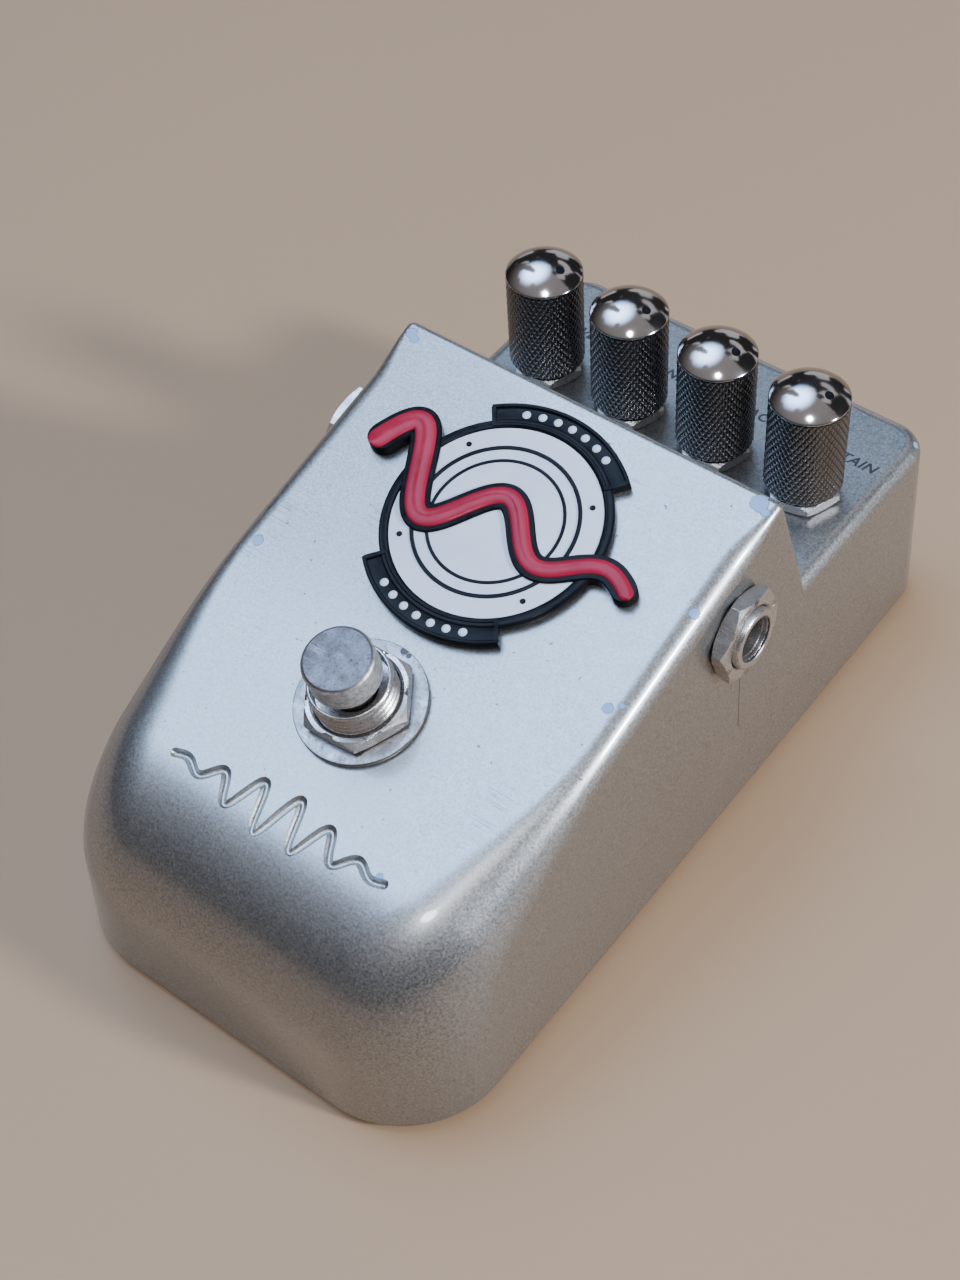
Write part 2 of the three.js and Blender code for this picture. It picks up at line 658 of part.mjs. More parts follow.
function badgePieces() {
  const frame = badgeFrame;
  const fall = -Math.tan(rad(RIBBON_FALL));
  // A note that rings on: a sine whose swing dies away from left to right.
  const line = (x) => {
    const along = (x + RIBBON_HALF_LENGTH) / (2 * RIBBON_HALF_LENGTH);
    const swing = RIBBON_SWING * Math.exp(-RIBBON_DECAY * along);
    return fall * x + swing * Math.sin(2 * Math.PI * RIBBON_WAVES * along);
  };
  const top = SEAT + BADGE_THICKNESS;
  const rimTop = top + SEAT + ENAMEL_THICKNESS;
  const band = (middle) => {
    const half = rad(BADGE_BAND_HALF_ANGLE);
    const shape = new THREE.Shape();
    shape.absarc(0, 0, BADGE_BAND_RADIUS, middle - half, middle + half, false);
    shape.absarc(0, 0, BADGE_RADIUS - BADGE_RIM, middle + half, middle - half, true);
    return solid(slab(shape, SEAT, rimTop));
  };
  const tiltBand = Math.PI / 2 - rad(RIBBON_FALL);
  const [length, width] = [RIBBON_HALF_LENGTH + RIBBON_BORDER, RIBBON_HALF_WIDTH + RIBBON_BORDER];
  const border = waveBand(line, length, width, 36);
  const plate = solid(bar(BADGE_RADIUS, SEAT, rimTop, 32))
    .subtract(solid(bar(BADGE_RADIUS - BADGE_RIM, top, 2 * rimTop, 32)))
    .add(band(tiltBand))
    .add(band(tiltBand + Math.PI))
    .add(solid(slab(border, SEAT, top)));
  piece("badge_plate", plate, BLACK, frame);
  const disc = bar(BADGE_RADIUS - BADGE_RIM - SEAT, top + SEAT, rimTop, 32);
  piece("badge_disc", disc, WHITE_ENAMEL, frame);
  const ribbon = waveBand(line, RIBBON_HALF_LENGTH, RIBBON_HALF_WIDTH, 36);
  const ribbonZ = rimTop + SEAT;
  piece("badge_ribbon", slab(ribbon, ribbonZ, ribbonZ + RIBBON_THICKNESS), RED_ENAMEL, frame);
}

function controlPieces() {
  const shaftBore = SHAFT_RADIUS + RUNNING;
  const domeRadius = (KNOB_RADIUS ** 2 + KNOB_DOME ** 2) / (2 * KNOB_DOME);
  const knobBottom = KNOB_LIFT;
  const knobTop = knobBottom + KNOB_HEIGHT;
  const shoulder = knobTop - KNOB_DOME;
  const domePoint = (r) => [r, knobTop - domeRadius + Math.sqrt(domeRadius ** 2 - r ** 2)];
  const knobProfile = [
    [0, knobBottom],
    [KNOB_RADIUS - 0.4, knobBottom],
    [KNOB_RADIUS, knobBottom + 0.4],
    [KNOB_RADIUS, shoulder],
    ...[0.75, 0.5, 0.25].map((share) => domePoint(share * KNOB_RADIUS)),
    [0, knobTop],
  ];
  const indexZ = domePoint(INDEX_OFFSET)[1];
  const screwZ = knobBottom + SET_SCREW_HEIGHT;
  const boreTop = knobBottom + KNOB_BORE_DEPTH;
  const shaftBottom = -WALL - POT_HEIGHT + 1;
  const nutTop = SEAT + POT_NUT_HEIGHT;
  for (let i = 0; i < CONTROL_COUNT; i++) {
    const group = new THREE.Group();
    group.position.set(controlX(i), controlY, deckZ);
    pedal.add(group);
    const number = i + 1;

    const dot = bar(INDEX_RADIUS, indexZ - INDEX_DEPTH, indexZ + 1, 12);
    dot.translate(INDEX_OFFSET, 0, 0);
    const screwBore = bar(SET_SCREW_RADIUS + 0.1, SHAFT_RADIUS - 1, KNOB_RADIUS + 1, 12)
      .rotateY(-Math.PI / 2)
      .translate(0, 0, screwZ);
    const knob = solid(turned(knobProfile))
      .subtract(solid(bar(shaftBore, knobBottom - 1, boreTop)))
      .subtract(solid(screwBore))
      .subtract(solid(dot));
    piece("knob_" + number, knob, DARK_CHROME, group);

    const screwStart = SHAFT_RADIUS + SEAT;
    const setScrew = bar(SET_SCREW_RADIUS, screwStart, screwStart + SET_SCREW_LENGTH, 12)
      .rotateY(-Math.PI / 2)
      .translate(0, 0, screwZ);
    piece("knob_set_screw_" + number, setScrew, STEEL, group);

    piece("pot_shaft_" + number, bar(SHAFT_RADIUS, shaftBottom, boreTop - SEAT), BRASS, group);

    const flats = 2 * (POT_BUSH_RADIUS + POT_NUT_WALL);
    const nut = hexNut(flats, POT_NUT_HEIGHT, SEAT, POT_BUSH_RADIUS + SEAT, POT_NUT_TURN);
    piece("pot_nut_" + number, nut, NICKEL, group);

    const bodyTop = -WALL - SEAT;
    const pot = solid(
      block(
        [-POT_WIDTH / 2, -POT_DEPTH / 2, bodyTop - POT_HEIGHT],
        [POT_WIDTH / 2, POT_DEPTH / 2, bodyTop],
      ),
    )
      .add(solid(bar(POT_BUSH_RADIUS, bodyTop - 1, nutTop)))
      .subtract(solid(bar(shaftBore, shaftBottom - SEAT, 2 * nutTop)));
    piece("pot_body_" + number, pot, STEEL, group);
  }
}

function jackPieces() {
  for (const [name, frame] of Object.entries(jackFrames)) {
    const nutTop = SEAT + JACK_NUT_HEIGHT + JACK_BUSH_PROUD;
    const flats = 2 * (JACK_BUSH_RADIUS + JACK_NUT_WALL);
    const nut = hexNut(flats, JACK_NUT_HEIGHT, SEAT, JACK_BUSH_RADIUS + SEAT, JACK_NUT_TURN);
    piece(name + "_jack_nut", nut, NICKEL, frame);
    const bodyTop = -WALL - SEAT - 0.5; // the drafted wall's inner face isn't quite parallel
    const half = JACK_BODY_SIDE / 2;
    const boreBottom = nutTop - JACK_BORE_DEPTH;
    const slot = [boreBottom - SEAT, boreBottom + 5];
    const jack = solid(block([-half, -half, bodyTop - JACK_BODY_LENGTH], [half, half, bodyTop]))
      .add(solid(bar(JACK_BUSH_RADIUS, bodyTop - 1, nutTop)))
      .subtract(solid(bar(JACK_BORE_RADIUS, boreBottom, 2 * nutTop)))
      .subtract(solid(block([-1.5, JACK_BORE_RADIUS - 1, slot[0]], [1.5, half + 1, slot[1]])));
    piece(name + "_jack", jack, BLACK, frame);
    const tip = block(
      [-1.5 + SEAT, JACK_BORE_RADIUS - 0.6, slot[0] + SEAT],
      [1.5 - SEAT, half - SEAT, slot[1] - SEAT],
    );
    piece(name + "_jack_tip", tip, BRASS, frame);
  }
}

function powerPieces() {
  const frame = new THREE.Group();
  frame.position.set(0, powerWallY, powerZ);
  frame.rotation.x = -Math.PI / 2; // its own Z points out of the rear wall
  pedal.add(frame);
  const bodyTop = -WALL - SEAT - 0.4;
  const noseTop = -SEAT - 0.2;
  const socket = solid(
    block(
      [-POWER_BODY_WIDTH / 2, -POWER_BODY_HEIGHT / 2, bodyTop - POWER_BODY_LENGTH],
      [POWER_BODY_WIDTH / 2, POWER_BODY_HEIGHT / 2, bodyTop],
    ),
  )
    .add(solid(bar(POWER_NOSE_RADIUS, bodyTop - 1, noseTop)))
    .subtract(solid(bar(POWER_BORE_RADIUS, noseTop - POWER_BORE_DEPTH, 1)));
  piece("power_socket", socket, BLACK, frame);
  const pin = bar(POWER_PIN_RADIUS, noseTop - POWER_BORE_DEPTH + SEAT, noseTop - 1, 12);
  piece("power_socket_pin", pin, TIN, frame);
}

function electronics() {
  const frontEdge = ridgeY - BOARD_FRONT_FROM_RIDGE;
  const rearEdge = rearY - WALL - BOARD_REAR_CLEARANCE;
  const half = BOARD_WIDTH / 2;
  piece(
    "circuit_board",
    block([-half, frontEdge, boardBottomZ], [half, rearEdge, boardTopZ]),
    BOARD_GREEN,
  );
  const under = boardBottomZ - SEAT;
  const chip = new THREE.BoxGeometry(...CHIP_SIZE);
  piece("op_amp_chip", chip, BLACK).position.set(-8, controlY - 4, under - CHIP_SIZE[2] / 2);
  [
    [-18, controlY - 10],
    [6, controlY - 12],
    [16, controlY - 3],
  ].forEach(([x, y], i) => {
    const can = bar(CAPACITOR_RADIUS, -CAPACITOR_HEIGHT, 0);
    piece("capacitor_" + (i + 1), can, BLACK).position.set(x, y, under);
  });

  const lampBottom = deckZ - WALL - 2.5;
  const lamp = turned(
    [
      [0, lampBottom],
      [LAMP_RADIUS + 0.4, lampBottom],
      [LAMP_RADIUS + 0.4, lampBottom + 1],
      [LAMP_RADIUS, lampBottom + 1],
      [LAMP_RADIUS, deckZ],
      [LAMP_RADIUS * 0.8, deckZ + LAMP_RADIUS * 0.6],
      [LAMP_RADIUS * 0.4, deckZ + LAMP_RADIUS * 0.9],
      [0, deckZ + LAMP_RADIUS],
    ],
    12,
  );
  piece("status_lamp", lamp, RED_GLASS).position.set(0, lampY, 0);

  const padBottom = plateTopZ + SEAT;
  const batteryZ = padBottom + PAD_THICKNESS + SEAT;
  const batteryY = frontEdge - 2 - BATTERY_DEPTH / 2;
  const batteryX = -(TERMINAL_HEIGHT + SNAP_THICKNESS) / 2;
  const halfLength = BATTERY_LENGTH / 2;
  const halfDepth = BATTERY_DEPTH / 2;
  const pad = block(
    [batteryX - halfLength + 3, batteryY - halfDepth + 3, padBottom],
    [batteryX + halfLength - 3, batteryY + halfDepth - 3, padBottom + PAD_THICKNESS],
  );
  piece("battery_pad", pad, FOAM);
  const middleZ = batteryZ + BATTERY_HEIGHT / 2;
  const endX = batteryX + halfLength;
  let battery = solid(
    block(
      [batteryX - halfLength, batteryY - halfDepth, batteryZ],
      [endX, batteryY + halfDepth, batteryZ + BATTERY_HEIGHT],
    ),
  );
  for (const side of [-1, 1]) {
    const terminal = bar(TERMINAL_RADIUS, -1, TERMINAL_HEIGHT, 16)
      .rotateY(Math.PI / 2)
      .translate(endX, batteryY + (side * TERMINAL_PITCH) / 2, middleZ);
    battery = battery.add(solid(terminal));
  }
  piece("battery", battery, BATTERY_BLUE);
  const snapX = endX + TERMINAL_HEIGHT + SEAT;
  const snap = block(
    [snapX, batteryY - TERMINAL_PITCH / 2 - 5, middleZ - 5.5],
    [snapX + SNAP_THICKNESS, batteryY + TERMINAL_PITCH / 2 + 5, middleZ + 5.5],
  );
  piece("battery_snap", snap, BLACK);

  const leadRoom = LEAD_RADIUS + SEAT;
  ["red", "black"].forEach((colour, i) => {
    const y = batteryY + 3 * i - 1.5;
    const x = snapX + SNAP_THICKNESS / 2;
    const start = new THREE.Vector3(x, y, middleZ + 5.5 + SEAT);
    const end = new THREE.Vector3(half - 4 - 4 * i, frontEdge + 4, boardTopZ + leadRoom);
    const path = new THREE.CatmullRomCurve3([
      start,
      new THREE.Vector3(x, y, start.z + 3),
      new THREE.Vector3(x - 1.5 - 3 * i, y + 5, boardTopZ + 3.5),
      new THREE.Vector3(end.x + 1, frontEdge - 2, boardTopZ + 3),
      new THREE.Vector3(end.x, frontEdge + 1.5, boardTopZ + 1.3 * leadRoom + 0.3),
      end,
    ]);
    const section = new THREE.Shape().absarc(0, 0, LEAD_RADIUS, 0, 2 * Math.PI, false);
    const lead = new THREE.ExtrudeGeometry(section, {
      steps: 18,
      extrudePath: path,
      curveSegments: 3,
    });
    piece("battery_lead_" + colour, lead, i ? BLACK : RED_PLASTIC);
  });
}

piece("housing", housing(), CASE_PAINT);
basePieces();
switchPieces();
badgePieces();
controlPieces();
jackPieces();
powerPieces();
electronics();

export default pedal;
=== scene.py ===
# %% [markdown]
# # A compact sustainer pedal
#
# A guitarist's stompbox: a painted die-cast wedge with a stomp switch on its slope, a badge above
# the switch, four knurled knobs on a sunk deck behind the ridge, and a jack socket in each side.
# The lesson builds each visible piece as a surface worked out from a formula, around the frame
# that the engineering model gives, and then gives each one its own finish.

# %% Load the frame and measure it
import math

import bmesh
import bpy
import numpy as np
from mathutils import Matrix, Vector


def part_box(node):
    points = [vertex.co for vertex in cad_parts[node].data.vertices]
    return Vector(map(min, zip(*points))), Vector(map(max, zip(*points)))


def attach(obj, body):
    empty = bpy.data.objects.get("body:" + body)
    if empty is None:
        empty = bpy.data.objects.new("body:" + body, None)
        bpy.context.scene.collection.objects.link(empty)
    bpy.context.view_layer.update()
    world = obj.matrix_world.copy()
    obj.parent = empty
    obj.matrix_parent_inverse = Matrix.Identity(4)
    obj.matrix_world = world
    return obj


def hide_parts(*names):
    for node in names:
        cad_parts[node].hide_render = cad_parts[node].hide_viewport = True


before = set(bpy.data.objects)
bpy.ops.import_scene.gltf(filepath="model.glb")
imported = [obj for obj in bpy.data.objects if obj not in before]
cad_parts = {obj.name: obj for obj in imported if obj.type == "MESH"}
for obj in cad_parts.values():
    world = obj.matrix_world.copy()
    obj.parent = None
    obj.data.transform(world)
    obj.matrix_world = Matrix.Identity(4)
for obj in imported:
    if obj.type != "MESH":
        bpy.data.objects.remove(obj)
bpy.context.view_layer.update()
MM = 0.001

# %% [markdown]
# ## Camera, light and floor
#
# A product picture is planned before anything is made: where the camera stands decides which
# pieces need the most care. The lens is a short telephoto, held well above the pedal and a
# little turned, as a hand-held camera is.

# %% Camera
CAMERA_PLACE = (0.1308, -0.1554, 0.2704)
AZIMUTH, ELEVATION, ROLL = (math.radians(a) for a in (41.11, 50.58, -4.65))


def camera_matrix(place, azimuth, elevation, roll):
    """Looks down along the direction that azimuth and elevation give, then rolls about it."""
    back = Vector((
        math.sin(azimuth) * math.cos(elevation),
        -math.cos(azimuth) * math.cos(elevation),
        math.sin(elevation),
    ))
    level = Vector((math.cos(azimuth), math.sin(azimuth), 0))
    upright = back.cross(level)
    right = level * math.cos(roll) + upright * math.sin(roll)
    top = upright * math.cos(roll) - level * math.sin(roll)
    matrix = Matrix((right, top, back)).transposed().to_4x4()
    matrix.translation = place
    return matrix


camera_data = bpy.data.cameras.new("camera")
camera_data.lens = 62.06
camera_data.sensor_width = 36
camera_data.clip_start = 0.01
camera = bpy.data.objects.new("camera", camera_data)
bpy.context.scene.collection.objects.link(camera)
camera.matrix_world = camera_matrix(CAMERA_PLACE, AZIMUTH, ELEVATION, ROLL)
bpy.context.scene.camera = camera
print("camera at", CAMERA_PLACE)

# %% [markdown]
# A bright soft window in the dome stands where the slope mirrors it into the camera. Metallic
# paint shows mostly what it mirrors, so the slope comes out pale and the walls dark. A small
# panel towards the camera puts a spark on each round top, and one on the right draws the long
# highlight on the shoulder. The world around them is dim, so that polished metal has dark things
# to mirror too.

# %% Light panels


def light_panel(name, place, size, power, colour):
    """A disc of light that faces the pedal."""
    data = bpy.data.lights.new(name, "AREA")
    data.shape = "DISK"
    data.size = size
    data.energy = power
    data.color = colour
    panel = bpy.data.objects.new(name, data)
    bpy.context.scene.collection.objects.link(panel)
    panel.location = place
    aim = Vector((0, 0, 0.03)) - Vector(place)
    panel.rotation_euler = aim.to_track_quat("-Z", "Y").to_euler()
    return panel


light_panel("front_panel", (0.34, -0.42, 1.0), 0.2, 4.8, (0.88, 0.96, 1.08))
light_panel("right_panel", (1.05, 0.22, 0.6), 0.17, 22.0, (0.86, 0.95, 1.1))
print("light panels:", [light.name for light in bpy.data.lights])

# %% The dome
KEY_DIRECTION, KEY_COLOUR = (-0.4175, 0.0566, 0.907), (4.8, 7.3, 11.6)
WINDOW_DIRECTION, WINDOW_COLOUR = (0.16, 0.50, 0.85), (0.85, 0.86, 0.9)
ROOM_COLOUR = (0.025, 0.024, 0.025)
HORIZON_COLOUR, OVERHEAD_COLOUR = (0.032, 0.027, 0.025), (0.50, 0.47, 0.47)


def graded_dome():
    """A world whose light depends on how high a direction points, full overhead and dim at the
    horizon. Behind the pedal it is dark, with pale patches, like lamps and windows in a room.
    The key window is added on top: its share falls smoothly with the distance between a
    direction and the window's own, and soft clouds break its edge."""
    world = bpy.data.worlds.new("studio")
    world.use_nodes = True
    tree = world.node_tree

    def node(kind, *values, **settings):
        made_node = tree.nodes.new("ShaderNode" + kind)
        for key, value in settings.items():
            setattr(made_node, key, value)
        for socket, value in zip(made_node.inputs, values):
            if isinstance(value, bpy.types.NodeSocket):
                tree.links.new(value, socket)
            else:
                socket.default_value = value
        return made_node

    def noise(scale, detail):
        return node("TexNoise", place, 0.0, scale, detail).outputs["Fac"]

    def away_from(direction):
        return node("VectorMath", place, direction, operation="DISTANCE").outputs["Value"]

    def blended(share, a, b, kind="MIX"):
        """Mixes or adds two colours by a share. Each is a colour or another node's output."""
        mix = node("Mix", data_type="RGBA", blend_type=kind)
        for socket, value in zip((mix.inputs[0], mix.inputs[6], mix.inputs[7]), (share, a, b)):
            if isinstance(value, bpy.types.NodeSocket):
                tree.links.new(value, socket)
            else:
                socket.default_value = (*value, 1)
        return mix.outputs[2]

    place = node("TexCoord").outputs["Generated"]
    split = node("SeparateXYZ", place)
    grade = node("ValToRGB", split.outputs["Z"])
    grade.color_ramp.interpolation = "EASE"
    stops = grade.color_ramp.elements
    stops[0].position, stops[0].color = 0.15, (*HORIZON_COLOUR, 1)
    stops[1].position, stops[1].color = 0.95, (*OVERHEAD_COLOUR, 1)
    nearness = node("MapRange", away_from(WINDOW_DIRECTION), 0.12, 0.42, 0.13, 0.0)
    lit = node("Math", noise(2.7, 1.2), nearness.outputs[0])
    patch = node("MapRange", lit.outputs[0], 0.53, 0.56, 0.02, 1.0)
    room = blended(patch.outputs[0], ROOM_COLOUR, WINDOW_COLOUR)
    behind = node("MapRange", split.outputs["Y"], 0.31, 0.35, 0.0, 1.0)
    sky = blended(behind.outputs[0], grade.outputs["Color"], room)
    key = node(
        "MapRange", away_from(KEY_DIRECTION), 0.16, 0.56, 1.0, 0.0, interpolation_type="SMOOTHSTEP"
    )
    cloudy = node("MapRange", noise(3.6, 0.4), 0.38, 0.46, 0.0, 1.0)
    share = node("Math", key.outputs[0], cloudy.outputs[0], operation="MULTIPLY")
    lit_sky = blended(share.outputs[0], sky, KEY_COLOUR, "ADD")
    tree.links.new(lit_sky, tree.nodes["Background"].inputs["Color"])
    tree.nodes["Background"].inputs["Strength"].default_value = 1.0
    return world


bpy.context.scene.world = graded_dome()
print("the key window lies in direction", KEY_DIRECTION)

# %% Floor


def linked(name, mesh):
    """An object at the origin that holds the mesh."""
    piece = bpy.data.objects.new(name, mesh)
    bpy.context.scene.collection.objects.link(piece)
    return piece


floor_mesh = bpy.data.meshes.new("floor")
floor_corners = [(-4, -4, 0), (4, -4, 0), (4, 4, 0), (-4, 4, 0)]
floor_mesh.from_pydata(floor_corners, [], [(0, 1, 2, 3)])
floor = linked("floor", floor_mesh)
print("a floor, which is not part of the pedal")

# %% [markdown]
# ## Tools for surfaces
#
# Most pieces here are a grid of points: rows along a profile, columns round an axis or across a
# body. One function names the four corners of every cell of such a grid, and one turns points
# and faces into a closed mesh, with touching points merged and all faces looking outwards.

# %% Grid and mesh


def grid_faces(rows, columns, wrap=False):
    """The four corner numbers of each cell of a grid. With wrap, the last column joins the
    first."""
    i, j = np.meshgrid(np.arange(rows - 1), np.arange(columns - (not wrap)), indexing="ij")
    k = (j + 1) % columns
    corners = (i * columns + j, i * columns + k, (i + 1) * columns + k, (i + 1) * columns + j)
    return np.stack(corners, -1).reshape(-1, 4)


def closed_mesh(name, points, faces):
    """A mesh from points in millimetres. Points closer than a tenth of a micron become one."""
    mesh = bpy.data.meshes.new(name)
    places = (np.asarray(points).reshape(-1, 3) * MM).tolist()
    mesh.from_pydata(places, [], [list(face) for face in faces])
    shape = bmesh.new()
    shape.from_mesh(mesh)
    bmesh.ops.remove_doubles(shape, verts=shape.verts, dist=1e-7)
    bmesh.ops.dissolve_degenerate(shape, edges=shape.edges, dist=1e-8)
    bmesh.ops.recalc_face_normals(shape, faces=shape.faces)
    shape.to_mesh(mesh)
    shape.free()
    return mesh


def smooth(mesh, sharp=35):
    """Smooth shading, broken where two faces meet at more than this many degrees."""
    mesh.polygons.foreach_set("use_smooth", np.ones(len(mesh.polygons), bool))
    mesh.set_sharp_from_angle(angle=math.radians(sharp))
    return mesh


def even_normals(piece):
    """Large flat faces keep their own direction, so that they shade flat beside small ones."""
    modifier = piece.modifiers.new("even normals", "WEIGHTED_NORMAL")
    modifier.keep_sharp = True
    return piece


# %% [markdown]
# A machined piece never has a knife edge. `softened` rounds every corner of a profile, and
# `turned` carries the profile round the axis, as a lathe does.

# %% Turned pieces


def softened(corners, radius, steps=4):
    """Each inner corner becomes a short parabola that leaves one side and joins the next at the
    radius from the corner, or nearer on a short side. The two end points stay."""
    p = np.array(corners, float)
    first, last = p[:1], p[-1:]
    before, here, after = p[:-2], p[1:-1], p[2:]
    back, ahead = before - here, after - here
    back_length = np.linalg.norm(back, axis=1, keepdims=True)
    ahead_length = np.linalg.norm(ahead, axis=1, keepdims=True)
    a = here + back / back_length * np.minimum(radius, 0.45 * back_length)
    b = here + ahead / ahead_length * np.minimum(radius, 0.45 * ahead_length)
    t = np.linspace(0, 1, steps)[None, :, None]
    curve = (1 - t) ** 2 * a[:, None] + 2 * t * (1 - t) * here[:, None] + t**2 * b[:, None]
    return np.concatenate([first, curve.reshape(-1, 2), last])


def round_angles(sides):
    return np.arange(sides) * 2 * math.pi / sides


def turned(profile, sides=96):
    """A point of the profile at radius r and height z runs round the circle r cos t, r sin t."""
    r, z = np.array(profile, float).T
    t = round_angles(sides)
    circle = np.outer(r, np.cos(t)), np.outer(r, np.sin(t)), z[:, None]
    points = np.stack(np.broadcast_arrays(*circle), -1)
    return points, grid_faces(len(r), sides, wrap=True)


def in_frame(matrix, points):
    """Points of a piece's own frame, moved into the pedal's frame."""
    points = np.asarray(points).reshape(-1, 3)
    return points @ matrix[:3, :3].T + matrix[:3, 3]


def frame_at(place, tilt_x=0.0, tilt_y=0.0):
    """A frame at a place, turned about X and about Y."""
    matrix = np.eye(4)
    matrix[:3, :3] = np.array(Matrix.Rotation(tilt_y, 3, "Y") @ Matrix.Rotation(tilt_x, 3, "X"))
    matrix[:3, 3] = place
    return matrix


def made(name, matrix, points, faces, body, slot, replaces=(), sharp=35):
    """A closed, smooth-shaded piece that rides on a body and stands for the nodes it replaces."""
    mesh = smooth(closed_mesh(name, in_frame(matrix, points), faces), sharp)
    return finished(linked(name, mesh), body, replaces)


def finished(piece, body, replaces=()):
    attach(piece, body)
    if replaces:
        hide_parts(*replaces)
    print(f"{piece.name}: {len(piece.data.polygons)} faces")
    return piece


# %% [markdown]
# Holes and joined bodies come from Boolean operations. The result is taken as a new mesh at once,
# so that no modifier depends on another object.

# %% Boolean tool


def combined(target, tool, operation):
    """Joins the tool to the target's mesh, keeps only what they share, or cuts the tool out."""
    modifier = target.modifiers.new("combine", "BOOLEAN")
    modifier.operation = operation
    modifier.object = tool
    modifier.solver = "MANIFOLD"
    graph = bpy.context.evaluated_depsgraph_get()
    mesh = bpy.data.meshes.new_from_object(target.evaluated_get(graph))
    target.modifiers.clear()
    target.data = mesh
    bpy.data.objects.remove(tool)
    return target


# %% [markdown]
# ## The case
#
# The real case is one zinc or aluminium casting. Its walls lean in a little, so that it leaves
# the mould, and every edge is round. A box with bevels can't give such a nose, where the front
# corners open up to a large radius and close again towards the ridge. So the shape is made as a
# pattern maker would file it: a ball rolls along the edge between the side profile and each
# leaning side wall, and its radius changes on the way.

# %% Sizes of the case, in millimetres and radians
LENGTH, WIDTH = 129.5, 69.4
RIM_Z, RIDGE_Z, DECK_Z = 1.7, 52.8, 31.5
FRONT_Y, REAR_Y, RIDGE_Y = -64.75, 64.75, 21.75
SLOPE, RIDGE_LEAN, SIDE_DRAFT, END_DRAFT = (math.radians(a) for a in (14.1, 15, 3, 2))
NOSE_RADIUS, FRONT_CORNER, REAR_CORNER, CORNER_BLEND = 22, 15.8, 8.5, 46
EDGE_RADIUS, RIDGE_RADIUS, REAR_EDGE, REAR_CORNER_TOP = 3.5, 1.2, 2.8, 5.5
WALL = 2.5
BELOW = 3  # the walls run on below the rim, and are cut off there
print("the ridge stands", round(RIDGE_Z - RIM_Z, 1), "mm above the rim")


def slope_height(y):
    return RIDGE_Z + (y - RIDGE_Y) * math.tan(SLOPE)


def wall_x(z):
    return WIDTH / 2 - (z - RIM_Z) * math.tan(SIDE_DRAFT)


def meeting(angle_a, offset_a, angle_b, offset_b):
    """Where two lines of a side view cross, each given by its normal's angle and its offset."""
    m = np.array([[math.cos(angle_a), math.sin(angle_a)], [math.cos(angle_b), math.sin(angle_b)]])
    return np.linalg.solve(m, [offset_a, offset_b])


def offset_of(angle, y, z):
    return math.cos(angle) * y + math.sin(angle) * z


# %% The wedge's side profile


def arc(centre, radius, start, end, count):
    """Points and normal angles along a round stretch of the profile."""
    angle = np.linspace(start, end, count)
    return centre[0] + radius * np.cos(angle), centre[1] + radius * np.sin(angle), angle


def wedge_profile(inset=0.0):
    """Up the front wall, round the nose, up the slope, over the ridge and down its leaning back,
    all moved in by the inset. Returns y, z, the normal's angle and the rolling ball's radius. The
    ball is never larger than the ridge's own radius there, or the rows would cross."""
    front, slope, back = math.pi - END_DRAFT, math.pi / 2 + SLOPE, RIDGE_LEAN
    nose_radius, ridge_radius = NOSE_RADIUS - inset, max(RIDGE_RADIUS - inset, 0.4)
    front_offset = offset_of(front, FRONT_Y, RIM_Z) - inset
    slope_offset = offset_of(slope, RIDGE_Y, RIDGE_Z) - inset
    back_offset = offset_of(back, RIDGE_Y, RIDGE_Z) - inset
    nose = meeting(front, front_offset - nose_radius, slope, slope_offset - nose_radius)
    ridge = meeting(slope, slope_offset - ridge_radius, back, back_offset - ridge_radius)
    nose_y, nose_z, nose_angle = arc(nose, nose_radius, front, slope, 48)
    ridge_y, ridge_z, ridge_angle = arc(ridge, ridge_radius, slope, back, 12)
    share = np.linspace(0, 1, 40)[1:-1]
    run_y = nose_y[-1] + (ridge_y[0] - nose_y[-1]) * share
    run_z = nose_z[-1] + (ridge_z[0] - nose_z[-1]) * share
    foot_z = RIM_Z - BELOW
    foot_front = (front_offset - math.sin(front) * foot_z) / math.cos(front)
    foot_back = (back_offset - math.sin(back) * foot_z) / math.cos(back)
    y = np.concatenate([[foot_front], nose_y, run_y, ridge_y, [foot_back]])
    z = np.concatenate([[foot_z], nose_z, run_z, ridge_z, [foot_z]])
    angle = np.concatenate([[front], nose_angle, slope + 0 * run_y, ridge_angle, [back]])
    t = np.clip((y - FRONT_Y) / CORNER_BLEND, 0, 1)
    blend = t * t * (3 - 2 * t)
    radius = FRONT_CORNER * (1 - blend) + EDGE_RADIUS * blend
    t = np.clip((y - RIDGE_Y + 11) / 10, 0, 1)
    radius = radius + (RIDGE_RADIUS - radius) * t * t * (3 - 2 * t)
    return y, z, angle, np.maximum(radius - inset, 0.4)


print("wedge profile has", len(wedge_profile()[0]), "stations")

# %% [markdown]
# Each station of the profile becomes one row of points across the body. On the right the row
# follows the ball from the profile's normal to the side wall's normal, by turning one into the
# other at an even rate, and then drops down the flat side wall to below the rim. The left half
# is its mirror image.

# %% The rolled body


